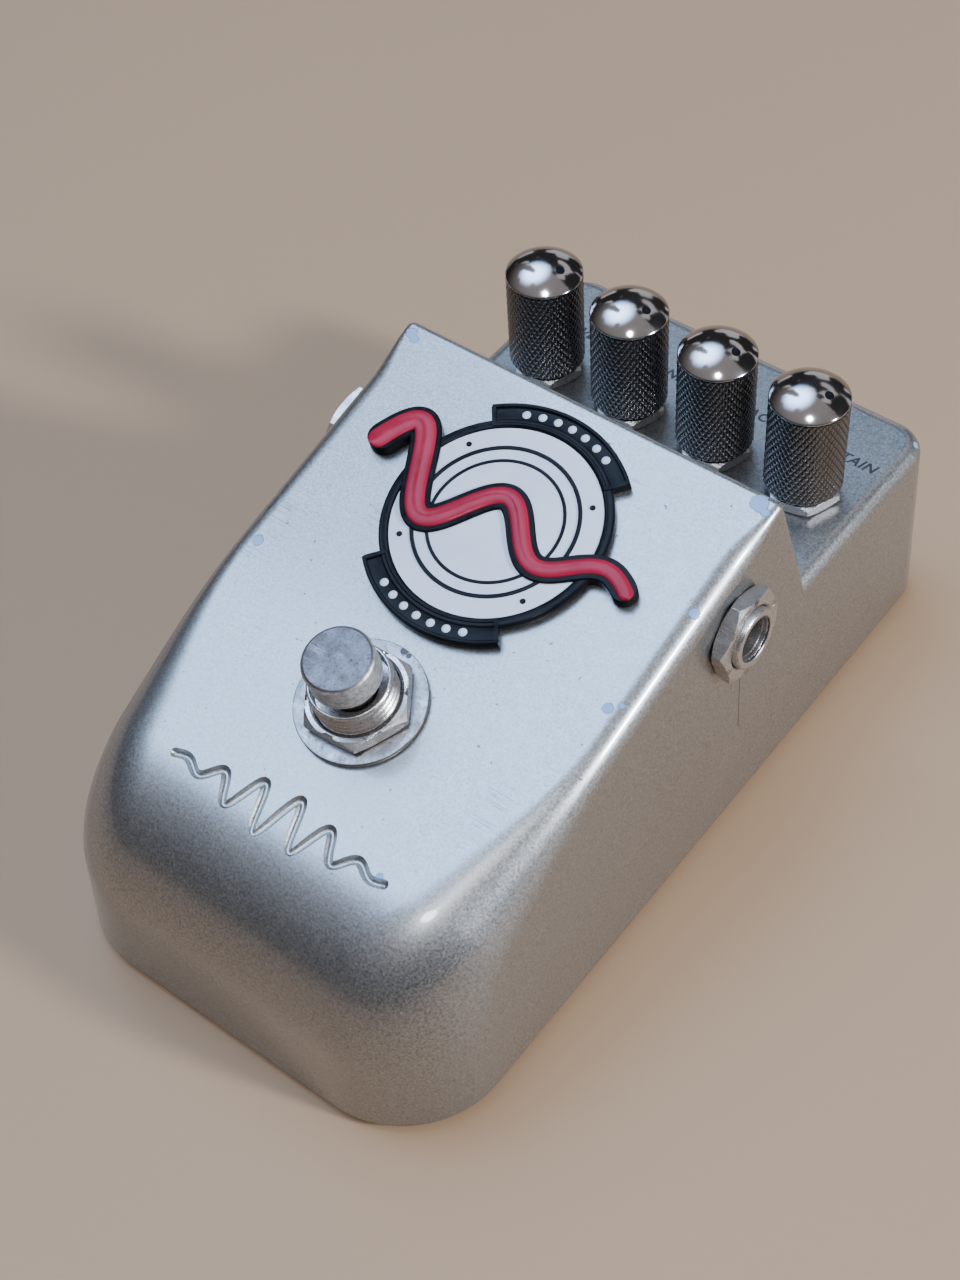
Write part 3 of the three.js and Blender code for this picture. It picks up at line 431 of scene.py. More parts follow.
def rolled_body(name, profile, inset, steps):
    """Ball centre: the profile point moved in along its normal by the ball's radius, and the
    same distance inside the side wall. Point: centre + radius * direction, where the direction
    turns from the profile's normal to the wall's."""
    y, z, angle, ball = profile
    out = np.stack([0 * angle, np.cos(angle), np.sin(angle)], -1)
    side = np.array([math.cos(SIDE_DRAFT), 0, math.sin(SIDE_DRAFT)])
    cy, cz = y - ball * out[:, 1], z - ball * out[:, 2]
    cx = wall_x(cz) - (inset + ball) / math.cos(SIDE_DRAFT)
    between = np.arccos(out @ side)[:, None, None]
    t = np.linspace(0, 1, steps + 1)[None, :, None]
    turn = (np.sin((1 - t) * between) * out[:, None] + np.sin(t * between) * side) / np.sin(between)
    right = np.stack([cx, cy, cz], -1)[:, None] + ball[:, None, None] * turn

    tangent = right[:, -1]
    walked = np.concatenate([[0], np.cumsum(np.linalg.norm(np.diff(tangent, axis=0), axis=1))])
    foot_y = np.interp(walked, [0, walked[-1]], [tangent[0, 1], tangent[-1, 1]])
    foot_z = RIM_Z - 2 * BELOW
    foot_x = wall_x(foot_z) - inset / math.cos(SIDE_DRAFT)
    foot = np.stack([foot_x + 0 * foot_y, foot_y, foot_z + 0 * foot_y], -1)[:, None]
    right = np.concatenate([right, foot], 1)
    rows = np.concatenate([right[:, ::-1] * [-1, 1, 1], right], 1)

    n, m = rows.shape[:2]
    number = np.arange(n * m).reshape(n, m)
    rim = np.concatenate([number[0, :-1], number[:-1, -1], number[-1, :0:-1], number[:0:-1, 0]])
    middle = [[0, rows[:, 0, 1].mean(), foot_z - BELOW]]
    cap = [(a, b, n * m) for a, b in zip(rim, np.roll(rim, -1))]
    faces = grid_faces(n, m).tolist() + cap
    return linked(name, closed_mesh(name, np.concatenate([rows.reshape(-1, 3), middle]), faces))


# %% [markdown]
# The deck behind the ridge is a lower block with upright round corners at the rear. Its outline
# is carried up the leaning walls, in over the rounded edge and on to the flat top, and each ring
# of the outline is the same loop moved further in.

# %% The deck block


def deck_loop(inset_x, inset_y, corner, steps=14):
    """Round corners at the rear, square ones at the front, which is buried in the wedge."""
    x, rear, start = WIDTH / 2 - inset_x, REAR_Y - inset_y, RIDGE_Y - 2 * WALL
    t = np.linspace(0, math.pi / 2, steps)
    quarter = np.column_stack([x - corner + corner * np.cos(t), rear - corner + corner * np.sin(t)])
    return np.concatenate([[[x, start]], quarter, quarter[::-1] * [-1, 1], [[-x, start]]])


def deck_block(name, inset, arc_steps=12):
    """Wall: the outline moves in with height by the tangent of the draft. Edge: a quarter circle
    from the wall to the top. Corner radius: it shrinks with height, and with each move in."""
    edge = max(REAR_EDGE - inset, 0.5)
    top = DECK_Z - inset
    turn = np.linspace(0, math.pi / 2, arc_steps)
    height = np.concatenate([[RIM_Z - 2 * BELOW], top - edge + edge * np.sin(turn)])
    extra = np.concatenate([[0], edge * (1 - np.cos(turn))])
    rings = []
    for z, e in zip(height, extra):
        rise = min(z, top - edge) - RIM_Z
        x, y = (rise * math.tan(a) + inset + e for a in (SIDE_DRAFT, END_DRAFT))
        corner = np.interp(z, [RIM_Z, DECK_Z], [REAR_CORNER, REAR_CORNER_TOP]) - inset - e
        rings.append(np.column_stack([deck_loop(x + 0.02, y, max(corner, 0.4)), np.full(30, z)]))
    n, m = len(rings), 30
    faces = grid_faces(n, m, wrap=True).tolist()
    faces += [list(range(m))[::-1], list(range((n - 1) * m, n * m))]
    return linked(name, closed_mesh(name, np.concatenate(rings), faces))


case = rolled_body("case_shell", wedge_profile(), 0, 18)
case = combined(case, deck_block("deck", 0), "UNION")
hollow = rolled_body("hollow", wedge_profile(WALL), WALL, 6)
hollow = combined(hollow, deck_block("deck_hollow", WALL, 4), "UNION")
print("outer body", len(case.data.polygons), "faces, hollow", len(hollow.data.polygons))

# %% [markdown]
# The base plate sits in a step inside the rim, and four bosses take its screws. Both are cut from
# flat outlines and plain bars.

# %% Outlines, bars and blocks
RIM_LIP, SEAT, FREE = 1.2, 0.2, 0.35
PLATE_TOP = RIM_Z + 1.2


def plan_outline(inset, steps=24):
    """The case's plan as a loop of points: four quarter circles joined by straight sides."""
    corner = np.array([FRONT_CORNER, FRONT_CORNER, REAR_CORNER, REAR_CORNER]) - inset
    x = np.array([-1, 1, 1, -1]) * (WIDTH / 2 - inset - corner)
    y = np.array([FRONT_Y + inset, FRONT_Y + inset, REAR_Y - inset, REAR_Y - inset])
    y = y + np.array([1, 1, -1, -1]) * corner
    start = np.radians([180, 270, 0, 90])
    t = start[:, None] + np.linspace(0, math.pi / 2, steps)
    x, y, corner = x[:, None], y[:, None], corner[:, None]
    return np.stack([x + corner * np.cos(t), y + corner * np.sin(t)], -1).reshape(-1, 2)


def stack(loop, heights, shrink=0.0):
    """A flat loop repeated at rising heights, with caps. The end loops may be a little smaller."""
    n = len(loop)
    centre = loop.mean(0)
    scales = [1 - shrink] + [1] * (len(heights) - 2) + [1 - shrink]
    points = np.concatenate([
        np.column_stack([centre + (loop - centre) * scale, np.full(n, height)])
        for scale, height in zip(scales, heights)
    ])
    top = (len(heights) - 1) * n
    faces = grid_faces(len(heights), n, wrap=True).tolist()
    return points, faces + [list(range(n))[::-1], list(range(top, top + n))]


def bars(name, matrices, radius, z0, z1, sides=64):
    """Several equal round bars as one mesh, one in each frame."""
    points, faces = turned([[0, z0], [radius, z0], [radius, z1], [0, z1]], sides)
    count = points.shape[0] * points.shape[1]
    placed = np.concatenate([in_frame(m, points) for m in matrices])
    numbered = np.concatenate([faces + i * count for i in range(len(matrices))])
    return linked(name, closed_mesh(name, placed, numbered))


def block(name, low, high):
    x, y = (low[0], high[0]), (low[1], high[1])
    loop = np.array([[x[0], y[0]], [x[1], y[0]], [x[1], y[1]], [x[0], y[1]]], float)
    return linked(name, closed_mesh(name, *stack(loop, [low[2], high[2]])))


# %% Frames of the pieces that sit on the case
SWITCH_Y = FRONT_Y + 34.5
CONTROL_Y = RIDGE_Y + 20.55
CONTROL_X = (np.arange(4) - 1.5) * 15.45
JACK_Y, JACK_Z = RIDGE_Y - 12, RIM_Z + 36.7
BOSS_RADIUS, SCREW_RADIUS = 3.5, 1.45


def on_slope(distance, aside=0.0):
    """A frame square to the slope, at a distance up it from the switch."""
    y = SWITCH_Y + distance * math.cos(SLOPE)
    return frame_at((aside, y, slope_height(y)), tilt_x=SLOPE)


def on_side(side):
    """A frame on a side wall at the jack, its own Z pointing out."""
    place = (side * wall_x(JACK_Z), JACK_Y, JACK_Z)
    return frame_at(place, tilt_y=side * (math.pi / 2 - SIDE_DRAFT))


def boss_places():
    """Each boss lies on the diagonal of its round corner, 0.6 mm into the wall."""
    reach_front, reach_rear = (
        (corner - WALL - BOSS_RADIUS + 0.6) * math.sqrt(0.5)
        for corner in (FRONT_CORNER, REAR_CORNER)
    )
    fx, fy = WIDTH / 2 - FRONT_CORNER + reach_front, FRONT_Y + FRONT_CORNER - reach_front
    rx, ry = WIDTH / 2 - REAR_CORNER + reach_rear, REAR_Y - REAR_CORNER + reach_rear
    return [(-fx, fy, 0), (fx, fy, 0), (rx, ry, 0), (-rx, ry, 0)]


switch_frame = on_slope(0)
badge_frame = on_slope(31.2)
ornament_frame = on_slope(-18.9)
jack_frames = {"input": on_side(1), "output": on_side(-1)}
knob_frames = [frame_at((x, CONTROL_Y, DECK_Z)) for x in CONTROL_X]
boss_frames = [frame_at(p) for p in boss_places()]
power_low, power_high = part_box("power_socket")
POWER_Z = (power_low.z + power_high.z) / 2 / MM
POWER_Y = REAR_Y - (POWER_Z - RIM_Z) * math.tan(END_DRAFT)
power_frame = frame_at((0, POWER_Y, POWER_Z), tilt_x=-math.pi / 2)
lamp_frame = frame_at((0, REAR_Y - 8.5, DECK_Z))
print("knobs stand at x", CONTROL_X.tolist())

# %% [markdown]
# Below the switch the casting has a sunk ornament. Here it is a burst of waves, as a plucked
# string makes: a sine that swells and dies away. A groove that bends so sharply can't be swept
# with a round section without crossing itself, so it is worked out as a height instead: at each
# point of a fine grid, the distance to the nearest point of the curve gives the depth, and the
# whole grid is used as one cutter.

# %% The sunk ornament
ORNAMENT_HALF_LENGTH, ORNAMENT_SWING, ORNAMENT_WAVES = 18, 3.6, 6
GROOVE_HALF_WIDTH, GROOVE_DEPTH = 0.72, 0.62


def burst(x):
    """A sine under a bell-shaped envelope."""
    bell = np.exp(-((1.6 * x / ORNAMENT_HALF_LENGTH) ** 2))
    return ORNAMENT_SWING * bell * np.sin(math.pi * ORNAMENT_WAVES * x / ORNAMENT_HALF_LENGTH)


def ornament_cutter():
    """Depth is a parabola of the distance to the curve: deepest on it, and level at the groove's
    half width. Beyond that the cutter stays just above the surface."""
    x = np.linspace(-20, 20, 300)
    y = np.linspace(-5.2, 5.2, 84)
    gx, gy = np.meshgrid(x, y, indexing="ij")
    line = np.linspace(-ORNAMENT_HALF_LENGTH, ORNAMENT_HALF_LENGTH, 900)
    wave = burst(line)
    near = np.full(gx.shape, 9.0)
    for start in range(0, 900, 100):
        part = slice(start, start + 100)
        reach = np.hypot(gx[..., None] - line[part], gy[..., None] - wave[part]).min(-1)
        near = np.minimum(near, reach)
    height = GROOVE_DEPTH * np.minimum((near / GROOVE_HALF_WIDTH) ** 2 - 1, 0.35)
    bottom = np.stack([gx, gy, height], -1)
    n, m = gx.shape
    number = np.arange(n * m).reshape(n, m)
    rim = np.concatenate([number[0, :-1], number[:-1, -1], number[-1, :0:-1], number[:0:-1, 0]])
    lid = bottom.reshape(-1, 3)[rim] + [0, 0, 2]
    top = n * m + np.arange(len(rim))
    walls = np.column_stack([rim, np.roll(rim, -1), np.roll(top, -1), top]).tolist()
    faces = grid_faces(n, m).tolist() + walls + [top.tolist()]
    points = in_frame(ornament_frame, np.concatenate([bottom.reshape(-1, 3), lid]))
    return linked("ornament", closed_mesh("ornament", points, faces))


# %% Cut the case
through = 3 * WALL
above = block("above", (-100, -100, RIM_Z), (100, 100, 100))
case = combined(case, above, "INTERSECT")
bosses = bars("bosses", boss_frames, BOSS_RADIUS, PLATE_TOP + SEAT, RIDGE_Z, 32)
hollow = combined(hollow, bosses, "DIFFERENCE")
case = combined(case, hollow, "DIFFERENCE")
step_shape = stack(plan_outline(RIM_LIP), [RIM_Z - 1, PLATE_TOP + SEAT])
case = combined(case, linked("step", closed_mesh("step", *step_shape)), "DIFFERENCE")
holes = [
    ([switch_frame], 6 + FREE, through),
    (list(jack_frames.values()), 4.5 + FREE, through),
    (knob_frames, 3.5 + FREE, through),
    ([lamp_frame], 1.5 + SEAT, through),
    ([power_frame], 4.6 + SEAT, through),
    (boss_frames, SCREW_RADIUS + SEAT, RIM_Z + 10),
]
for matrices, radius, reach in holes:
    case = combined(case, bars("hole", matrices, radius, -reach, reach), "DIFFERENCE")
case = combined(case, ornament_cutter(), "DIFFERENCE")
smooth(case.data, 30)
even_normals(case)
finished(case, "case", ["housing"])
low, high = (np.array(v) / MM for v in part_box("housing"))
print("CAD housing", low.round(1), high.round(1))
print("case from", (np.array(case.bound_box).min(0) / MM).round(1))

# %% [markdown]
# ## The base
#
# A steel plate closes the case, and a rubber mat under it keeps the pedal from sliding. From
# above only the mat's dark edge shows, as a thin line under the paint. It is cut to the plan
# outline, with rounded edges and a hole over each screw head.

# %% Rubber mat
MAT_TOP, HEAD_RADIUS = 1.5, 2.75
mat_loop = plan_outline(1.4)
mat_points, mat_faces = stack(mat_loop, [0, 0.12, MAT_TOP - 0.12, MAT_TOP], shrink=0.003)
mat = linked("rubber_mat", closed_mesh("rubber_mat", mat_points, mat_faces))
combined(mat, bars("head_holes", boss_frames, HEAD_RADIUS + 2 * FREE, -5, 5), "DIFFERENCE")
smooth(mat.data)
even_normals(mat)
finished(mat, "case", ["base_mat"])

# %% Base screws
HEAD_TOP = RIM_Z - SEAT
HEAD_BOTTOM = HEAD_TOP - 1.25
SCREW_TIP = RIM_Z + 9


def base_screw(name, matrix, replaces):
    """A pan head that faces down, a shank and a blunt tip, with a cross recess in the head."""
    profile = softened(
        [
            [0, HEAD_BOTTOM], [2.2, HEAD_BOTTOM], [HEAD_RADIUS, HEAD_BOTTOM + 0.55],
            [HEAD_RADIUS, HEAD_TOP], [SCREW_RADIUS, HEAD_TOP], [SCREW_RADIUS, SCREW_TIP - 0.8],
            [0.85, SCREW_TIP], [0, SCREW_TIP],
        ],
        0.25,
    )
    points, faces = turned(profile, 48)
    screw = linked(name, closed_mesh(name, in_frame(matrix, points), faces))
    place = matrix[:3, 3]
    for half in ((1.5, 0.28), (0.28, 1.5)):
        low = place + [-half[0], -half[1], HEAD_BOTTOM - 1]
        high = place + [half[0], half[1], HEAD_BOTTOM + 0.7]
        combined(screw, block("recess", low, high), "DIFFERENCE")
    smooth(screw.data)
    return finished(screw, "case", [replaces])


screws = [
    base_screw(f"cross_screw_{number}", matrix, f"base_screw_{number}")
    for number, matrix in enumerate(boss_frames, 1)
]

# %% [markdown]
# ## Nuts and washers
#
# A hexagon nut is a hexagon bar whose two faces were chamfered on a lathe, so the chamfer cuts
# only the six corners and leaves a curved edge on each flat. In a formula: round the nut, the
# outer radius is the hexagon's, and both faces drop by a fixed slope wherever that radius is
# outside the chamfer circle.

# %% Hexagon nut


def hex_nut(name, matrix, flats, height, base, bore, turn, body, slot, replaces, sides=96):
    """Hexagon radius: half the flats over the cosine of the angle from the nearest flat's middle.
    Face drop: the radius beyond the chamfer circle times the tangent of thirty degrees."""
    t = round_angles(sides) + math.radians(turn)
    from_flat = np.mod(round_angles(sides), math.pi / 3) - math.pi / 6
    outer = flats / 2 / np.cos(from_flat)
    corner = flats / math.sqrt(3)
    circle = corner - 0.9 * (corner - flats / 2)
    drop = np.maximum(outer - circle, 0) * math.tan(math.radians(30))
    face = np.minimum(outer - 0.02, circle)
    top = base + height
    lead = 0.3
    flat = np.ones(sides)
    bore_edge = (bore + lead) * flat
    r = np.array([
        bore * flat, bore_edge, face, outer, outer, face, bore_edge, bore * flat, bore * flat,
    ])
    z = np.array([
        (base + lead) * flat, base * flat, base * flat, base + drop, top - drop, top * flat,
        top * flat, (top - lead) * flat, (base + lead) * flat,
    ])
    points = np.stack([r * np.cos(t), r * np.sin(t), z], -1)
    nut = made(name, matrix, points, grid_faces(len(r), sides, wrap=True), body, slot, replaces, 25)
    bevel = nut.modifiers.new("broken edges", "BEVEL")
    bevel.width = 0.11 * MM
    bevel.segments = 2
    bevel.limit_method = "ANGLE"
    bevel.angle_limit = math.radians(40)
    return even_normals(nut)


switch_nut = hex_nut(
    "stomp_nut", switch_frame, 14, 2, 1.2, 6.2, 3, "case", "worn_nickel", ["switch_nut"]
)
jack_nuts = [
    hex_nut(
        f"{side}_nut", matrix, 12.4, 2.3, 0.2, 4.7, 17, "case", "worn_nickel", [f"{side}_jack_nut"]
    )
    for side, matrix in jack_frames.items()
]
pot_nuts = [
    hex_nut(
        f"control_nut_{number}", matrix, 10, 1.65, 0.2, 3.7, 10,
        "case", "worn_nickel", [f"pot_nut_{number}"],
    )
    for number, matrix in enumerate(knob_frames, 1)
]

# %% [markdown]
# ## The stomp switch
#
# The switch is a threaded bush held by a nut over a wide thin washer, and a cap that the foot
# presses. The cap and collar are turned. The thread is cut by one formula: the bush's radius
# swings in and out as the angle and the height change together, so the groove climbs as it
# goes round.

# %% Washer and cap
WASHER_IN, WASHER_OUT, WASHER_LOW, WASHER_HIGH = 6.2, 9.33, 0.2, 1.0
CAP_RADIUS, CAP_TOP = 5, 13.3


def box_section(inner, outer, bottom, top, rounding):
    """A rectangle in radius and height with rounded corners, which starts and ends in the middle
    of its bottom."""
    middle = [(inner + outer) / 2, bottom]
    corners = [[outer, bottom], [outer, top], [inner, top], [inner, bottom]]
    return softened([middle, *corners, middle], rounding)


washer_section = box_section(WASHER_IN, WASHER_OUT, WASHER_LOW, WASHER_HIGH, 0.14)
washer = made(
    "stomp_washer", switch_frame, *turned(washer_section), "case", "worn_nickel", ["switch_washer"]
)
cap_section = softened(
    [
        [0, -4.6], [3, -4.6], [3, 8.4], [4.6, 8.4], [CAP_RADIUS, 8.75],
        [CAP_RADIUS, CAP_TOP - 0.45], [CAP_RADIUS - 0.45, CAP_TOP], [0, CAP_TOP],
    ],
    0.16, 6,
)
cap = made(
    "stomp_cap", switch_frame, *turned(cap_section), "button", "worn_nickel", ["switch_button"], 50
)

# %% Threaded bush
THREAD_PITCH, THREAD_DEPTH = 1.1, 0.36


def threaded_bush(sides=96):
    """Radius = 6 - depth * (half a cosine of height over pitch less the turn), faded out where
    the plain collar starts."""
    thread_z = np.linspace(-6.8, 6.25, 190)
    inner = softened([[3.35, 0], [3.35, -6.8], [5.7, -6.8]], 0.1)
    collar = softened(
        [
            [5.68, 6.35], [5.68, 6.5], [5.86, 6.6], [5.86, 7.0], [5.62, 7.3], [5.42, 7.3],
            [5.35, 7.15], [5.35, 4.55], [3.35, 4.55], [3.35, 0],
        ],
        0.08,
    )
    t = round_angles(sides)
    wave = 0.5 - 0.5 * np.cos(2 * math.pi * thread_z[:, None] / THREAD_PITCH - t)
    fade = np.clip((6.2 - thread_z) / 0.3, 0, 1)[:, None]
    thread_r = 6.0 - THREAD_DEPTH * (wave * fade + 1 - fade)
    plain = np.ones(sides)
    r = np.concatenate([np.outer(inner[:, 0], plain), thread_r, np.outer(collar[:, 0], plain)])
    z = np.concatenate([inner[:, 1], thread_z, collar[:, 1]])[:, None] + 0 * t
    points = np.stack([r * np.cos(t), r * np.sin(t), z], -1)
    return points, grid_faces(len(r), sides, wrap=True)


bush = made(
    "stomp_bush", switch_frame, *threaded_bush(), "case", "worn_nickel", ["switch_bush"], 45
)

# %% [markdown]
# ## The knobs
#
# Each knob is a turned metal cylinder with a polished dome, and its side is knurled: two rollers
# press slanted grooves into it, one set leaning each way, and small four-sided beads are left
# between them. The beads catch the light one by one, which a bump map can't show at the
# outline, so they are real geometry. One wave round and up the knob gives each set of grooves,
# and the lower of the two waves gives the bead.

# %% Knurled knob
KNOB_RADIUS, KNOB_HEIGHT, KNOB_DOME, KNOB_LIFT = 5.86, 19.3, 2.4, 2.4
KNURL_STARTS, KNURL_SLANT, KNURL_DEPTH = 38, 0.62, 0.26
KNOB_TOP = KNOB_LIFT + KNOB_HEIGHT
SHOULDER = KNOB_TOP - KNOB_DOME
SHAFT_BORE, BORE_TOP = 3.09, KNOB_LIFT + 11
DOME_RADIUS = (KNOB_RADIUS**2 + KNOB_DOME**2) / (2 * KNOB_DOME)


def dome_height(r):
    return KNOB_TOP - DOME_RADIUS + np.sqrt(DOME_RADIUS**2 - np.asarray(r) ** 2)


def ridge_wave(phase):
    """A wave that is 0 in a groove and 1 on a ridge, with a rounded top."""
    return np.sqrt(np.clip(1 - (2 * np.abs(np.mod(phase, 1) - 0.5)) ** 2, 0, 1))


def knob_surface():
    """Rows of radius and height: up the bore, across the foot, up the knurl, over the dome."""
    sides = KNURL_STARTS * 8
    t = round_angles(sides)
    foot = softened(
        [
            [0, BORE_TOP], [SHAFT_BORE, BORE_TOP], [SHAFT_BORE, KNOB_LIFT],
            [5.3, KNOB_LIFT], [5.62, 2.8],
        ],
        0.1,
    )
    knurl_z = np.linspace(2.95, SHOULDER - 0.45, 118)
    turns = KNURL_STARTS * t / (2 * math.pi)
    climb = KNURL_STARTS * KNURL_SLANT * knurl_z[:, None] / (2 * math.pi * KNOB_RADIUS)
    bead = np.minimum(ridge_wave(turns + climb), ridge_wave(turns - climb))
    knurl_r = KNOB_RADIUS - KNURL_DEPTH * (1 - bead)
    shoulder = softened(
        [
            [5.62, SHOULDER - 0.4], [5.84, SHOULDER - 0.2], [5.84, SHOULDER],
            [5.7, dome_height(5.7)],
        ],
        0.1,
    )
    dome_r = np.linspace(5.66, 0, 26)
    plain = np.ones(sides)
    above_knurl = np.concatenate([shoulder[:, 0], dome_r])
    r = np.concatenate([np.outer(foot[:, 0], plain), knurl_r, np.outer(above_knurl, plain)])
    z = np.concatenate([foot[:, 1], knurl_z, shoulder[:, 1], dome_height(dome_r)])[:, None] + 0 * t
    return np.stack([r * np.cos(t), r * np.sin(t), z], -1), grid_faces(len(r), sides, wrap=True)


knob_points, knob_faces = knob_surface()
screw_bore = frame_at((0, 0, KNOB_LIFT + 5), tilt_y=-math.pi / 2)
knobs = []
for number, matrix in enumerate(knob_frames, 1):
    mesh = closed_mesh("knob", in_frame(matrix, knob_points), knob_faces)
    knob = linked(f"knurled_knob_{number}", mesh)
    combined(knob, bars("bore", [matrix @ screw_bore], 1.25, 2, 8, 24), "DIFFERENCE")
    smooth(knob.data, 50)
    knobs.append(finished(knob, f"control_{number}", [f"knob_{number}"]))

# %% [markdown]
# A small black dot of paint on each dome shows where the knob is set. It is a thin lens that
# lies on the dome, turned to the dome's own slope.

# %% Index dots
INDEX_OFFSET = 3.0
dome_tilt = math.asin(INDEX_OFFSET / DOME_RADIUS)
on_dome = frame_at((INDEX_OFFSET, 0, float(dome_height(INDEX_OFFSET))), tilt_y=dome_tilt)
dot_section = [[0, -0.15], [0.7, -0.15], [0.7, 0.0], [0.62, 0.035], [0.4, 0.05], [0, 0.055]]
dots = [
    made(
        f"index_dot_{number}", matrix @ on_dome, *turned(dot_section, 32),
        f"control_{number}", "black_badge",
    )
    for number, matrix in enumerate(knob_frames, 1)
]

# %% [markdown]
# ## The badge
#
# The real badge is a small casting whose sunk fields are filled with enamel, with the raised
# metal lacquered black. This one keeps its build, a round white field with a black rim, a black
# band above and below, and a red figure across it, and the figure is a wave that dies away,
# like a note that rings on. Every raised stroke is a rounded strip swept along a line.

# %% Strips swept along a line
BADGE_RADIUS, BAND_RADIUS, BADGE_RIM = 16.4, 19.0, 1.4
PLATE_Z, RIM_TOP_Z = 1.1, 1.65


def strip(line, width, bottom, top, crown=0.0, steps=9):
    """A flat strip along a line of points in the plane. Across it, the top rises to a crown as
    one minus the square of the distance from the middle, and its edges are rounded. Its ends
    are half circles, because the width shrinks there as a circle does."""
    line = np.asarray(line, float)
    tangent = np.gradient(line, axis=0)
    tangent /= np.linalg.norm(tangent, axis=1, keepdims=True)
    normal = np.stack([-tangent[:, 1], tangent[:, 0]], -1)
    walked = np.concatenate([[0], np.cumsum(np.linalg.norm(np.diff(line, axis=0), axis=1))])
    half = np.broadcast_to(np.asarray(width, float), walked.shape) / 2
    to_end = np.minimum(walked, walked[-1] - walked)
    inside = np.clip(1 - to_end / half, 0, 1)
    half = half * np.sqrt(np.maximum(1 - inside**2, 0.0004))
    across = np.sin(np.linspace(-1, 1, steps) * math.pi / 2)
    edge = np.minimum(0.18, half)[:, None]
    reach = across * half[:, None]
    into_edge = np.clip((np.abs(reach) - (half[:, None] - edge)) / edge, 0, 1)
    drop = edge * (1 - np.sqrt(1 - into_edge**2))
    height = top + crown * (1 - across**2) - drop
    level = line[:, None] + normal[:, None] * reach[..., None]
    upper = np.concatenate([level, height[..., None]], -1)
    lower = upper[:, ::-1].copy()
    lower[..., 2] = bottom
    rows = np.concatenate([upper, lower], 1)
    n, m = rows.shape[:2]
    ends = [list(range(m))[::-1], list(range((n - 1) * m, n * m))]
    return rows.reshape(-1, 3), grid_faces(n, m, wrap=True).tolist() + ends


def several(parts):
    """Several meshes' points and faces as one: each part's faces count on from the last part."""
    points, faces, count = [], [], 0
    for part_points, part_faces in parts:
        part_points = np.asarray(part_points).reshape(-1, 3)
        points.append(part_points)
        faces += [[corner + count for corner in face] for face in part_faces]
        count += len(part_points)
    return np.concatenate(points), faces


# %% The dying wave
RIBBON_HALF, RIBBON_SWING, RIBBON_DECAY, RIBBON_WAVES = 23, 8, 1.5, 2.5
RIBBON_FALL = math.tan(math.radians(3))


def dying_wave(x):
    """A sine whose swing shrinks from left to right as an exponential, on a line that falls."""
    along = (x + RIBBON_HALF) / (2 * RIBBON_HALF)
    swing = RIBBON_SWING * np.exp(-RIBBON_DECAY * along)
    return -RIBBON_FALL * x + swing * np.sin(2 * math.pi * RIBBON_WAVES * along)


def even_line(x, y, count):
    """The same curve with its points an even distance apart."""
    walked = np.concatenate([[0], np.cumsum(np.hypot(np.diff(x), np.diff(y)))])
    s = np.linspace(0, walked[-1], count)
    return np.column_stack([np.interp(s, walked, x), np.interp(s, walked, y)])


fine_x = np.linspace(-RIBBON_HALF, RIBBON_HALF, 3000)
wave_line = even_line(fine_x, dying_wave(fine_x), 260)
stroke = np.linspace(3.3, 2.2, 260)
border = strip(wave_line, stroke + 1.5, PLATE_Z - 0.9, 1.95)
ribbon = strip(wave_line, stroke, 1.7, 2.08, 0.24, 15)
wave_length = np.linalg.norm(np.diff(wave_line, axis=0), axis=1).sum()
print("the wave's line is", round(float(wave_length), 1), "mm long")

# %% Plate, rim and bands


def sector(middle, half_angle, inner, outer, bottom, top, steps=40):
    """A ring's sector with rounded edges: a section carried round part of the circle."""
    t = math.radians(middle) + np.linspace(-1, 1, steps) * math.radians(half_angle)
    r, z = box_section(inner, outer, bottom, top, 0.2).T
    circle = np.outer(np.cos(t), r), np.outer(np.sin(t), r), z[None]
    points = np.stack(np.broadcast_arrays(*circle), -1)
    m = len(r)
    ends = [list(range(m - 1))[::-1], list(range((steps - 1) * m, steps * m - 1))]
    return points.reshape(-1, 3), grid_faces(steps, m).tolist() + ends


BAND_TILT, BAND_HALF_ANGLE = 90 - 3, 40
FIELD_EDGE = BADGE_RADIUS - BADGE_RIM
BAND_LINES = (BADGE_RADIUS - 0.9, BAND_RADIUS - 0.35)
rim_profile = softened(
    [
        [0, 0.2], [BADGE_RADIUS, 0.2], [BADGE_RADIUS, RIM_TOP_Z], [FIELD_EDGE, RIM_TOP_Z],
        [FIELD_EDGE, PLATE_Z], [0, PLATE_Z],
    ],
    0.3,
)
parts = [turned(rim_profile, 160)]
for middle in (BAND_TILT, BAND_TILT + 180):
    parts.append(sector(middle, BAND_HALF_ANGLE, FIELD_EDGE, BAND_RADIUS, 0.2, RIM_TOP_Z - 0.2))
    for radius in BAND_LINES:
        parts.append(
            sector(middle, BAND_HALF_ANGLE, radius - 0.3, radius + 0.3, 1.2, RIM_TOP_Z + 0.15)
        )
    for side in (-0.985 * BAND_HALF_ANGLE, 0.985 * BAND_HALF_ANGLE):
        parts.append(sector(middle + side, 1.0, *BAND_LINES, 1.2, RIM_TOP_Z + 0.15, 8))
badge_plate = made(
    "badge_casting", badge_frame, *several(parts), "case", "black_badge", ["badge_plate"]
)
badge_border = made("badge_wave_border", badge_frame, *border, "case", "black_badge")
badge_wave = made("badge_wave", badge_frame, *ribbon, "case", "red_enamel", ["badge_ribbon"])

# %% [markdown]
# The white field is a shallow pool of enamel, a little higher in the middle where the glaze drew
# together. Two thin black rings and four dots are raised metal that shows through it. On each
# band a row of pale enamel drops takes the place of lettering.

# %% Enamel field, rings and drops
FIELD_RADIUS = FIELD_EDGE - 0.05


def field_height(r):
    """Level, with a fall at the edge as the sixth power of the radius, and a slight crown."""
    share = r / FIELD_RADIUS
    return 1.46 + 0.06 * (1 - share**6) + 0.03 * (1 - share**2)


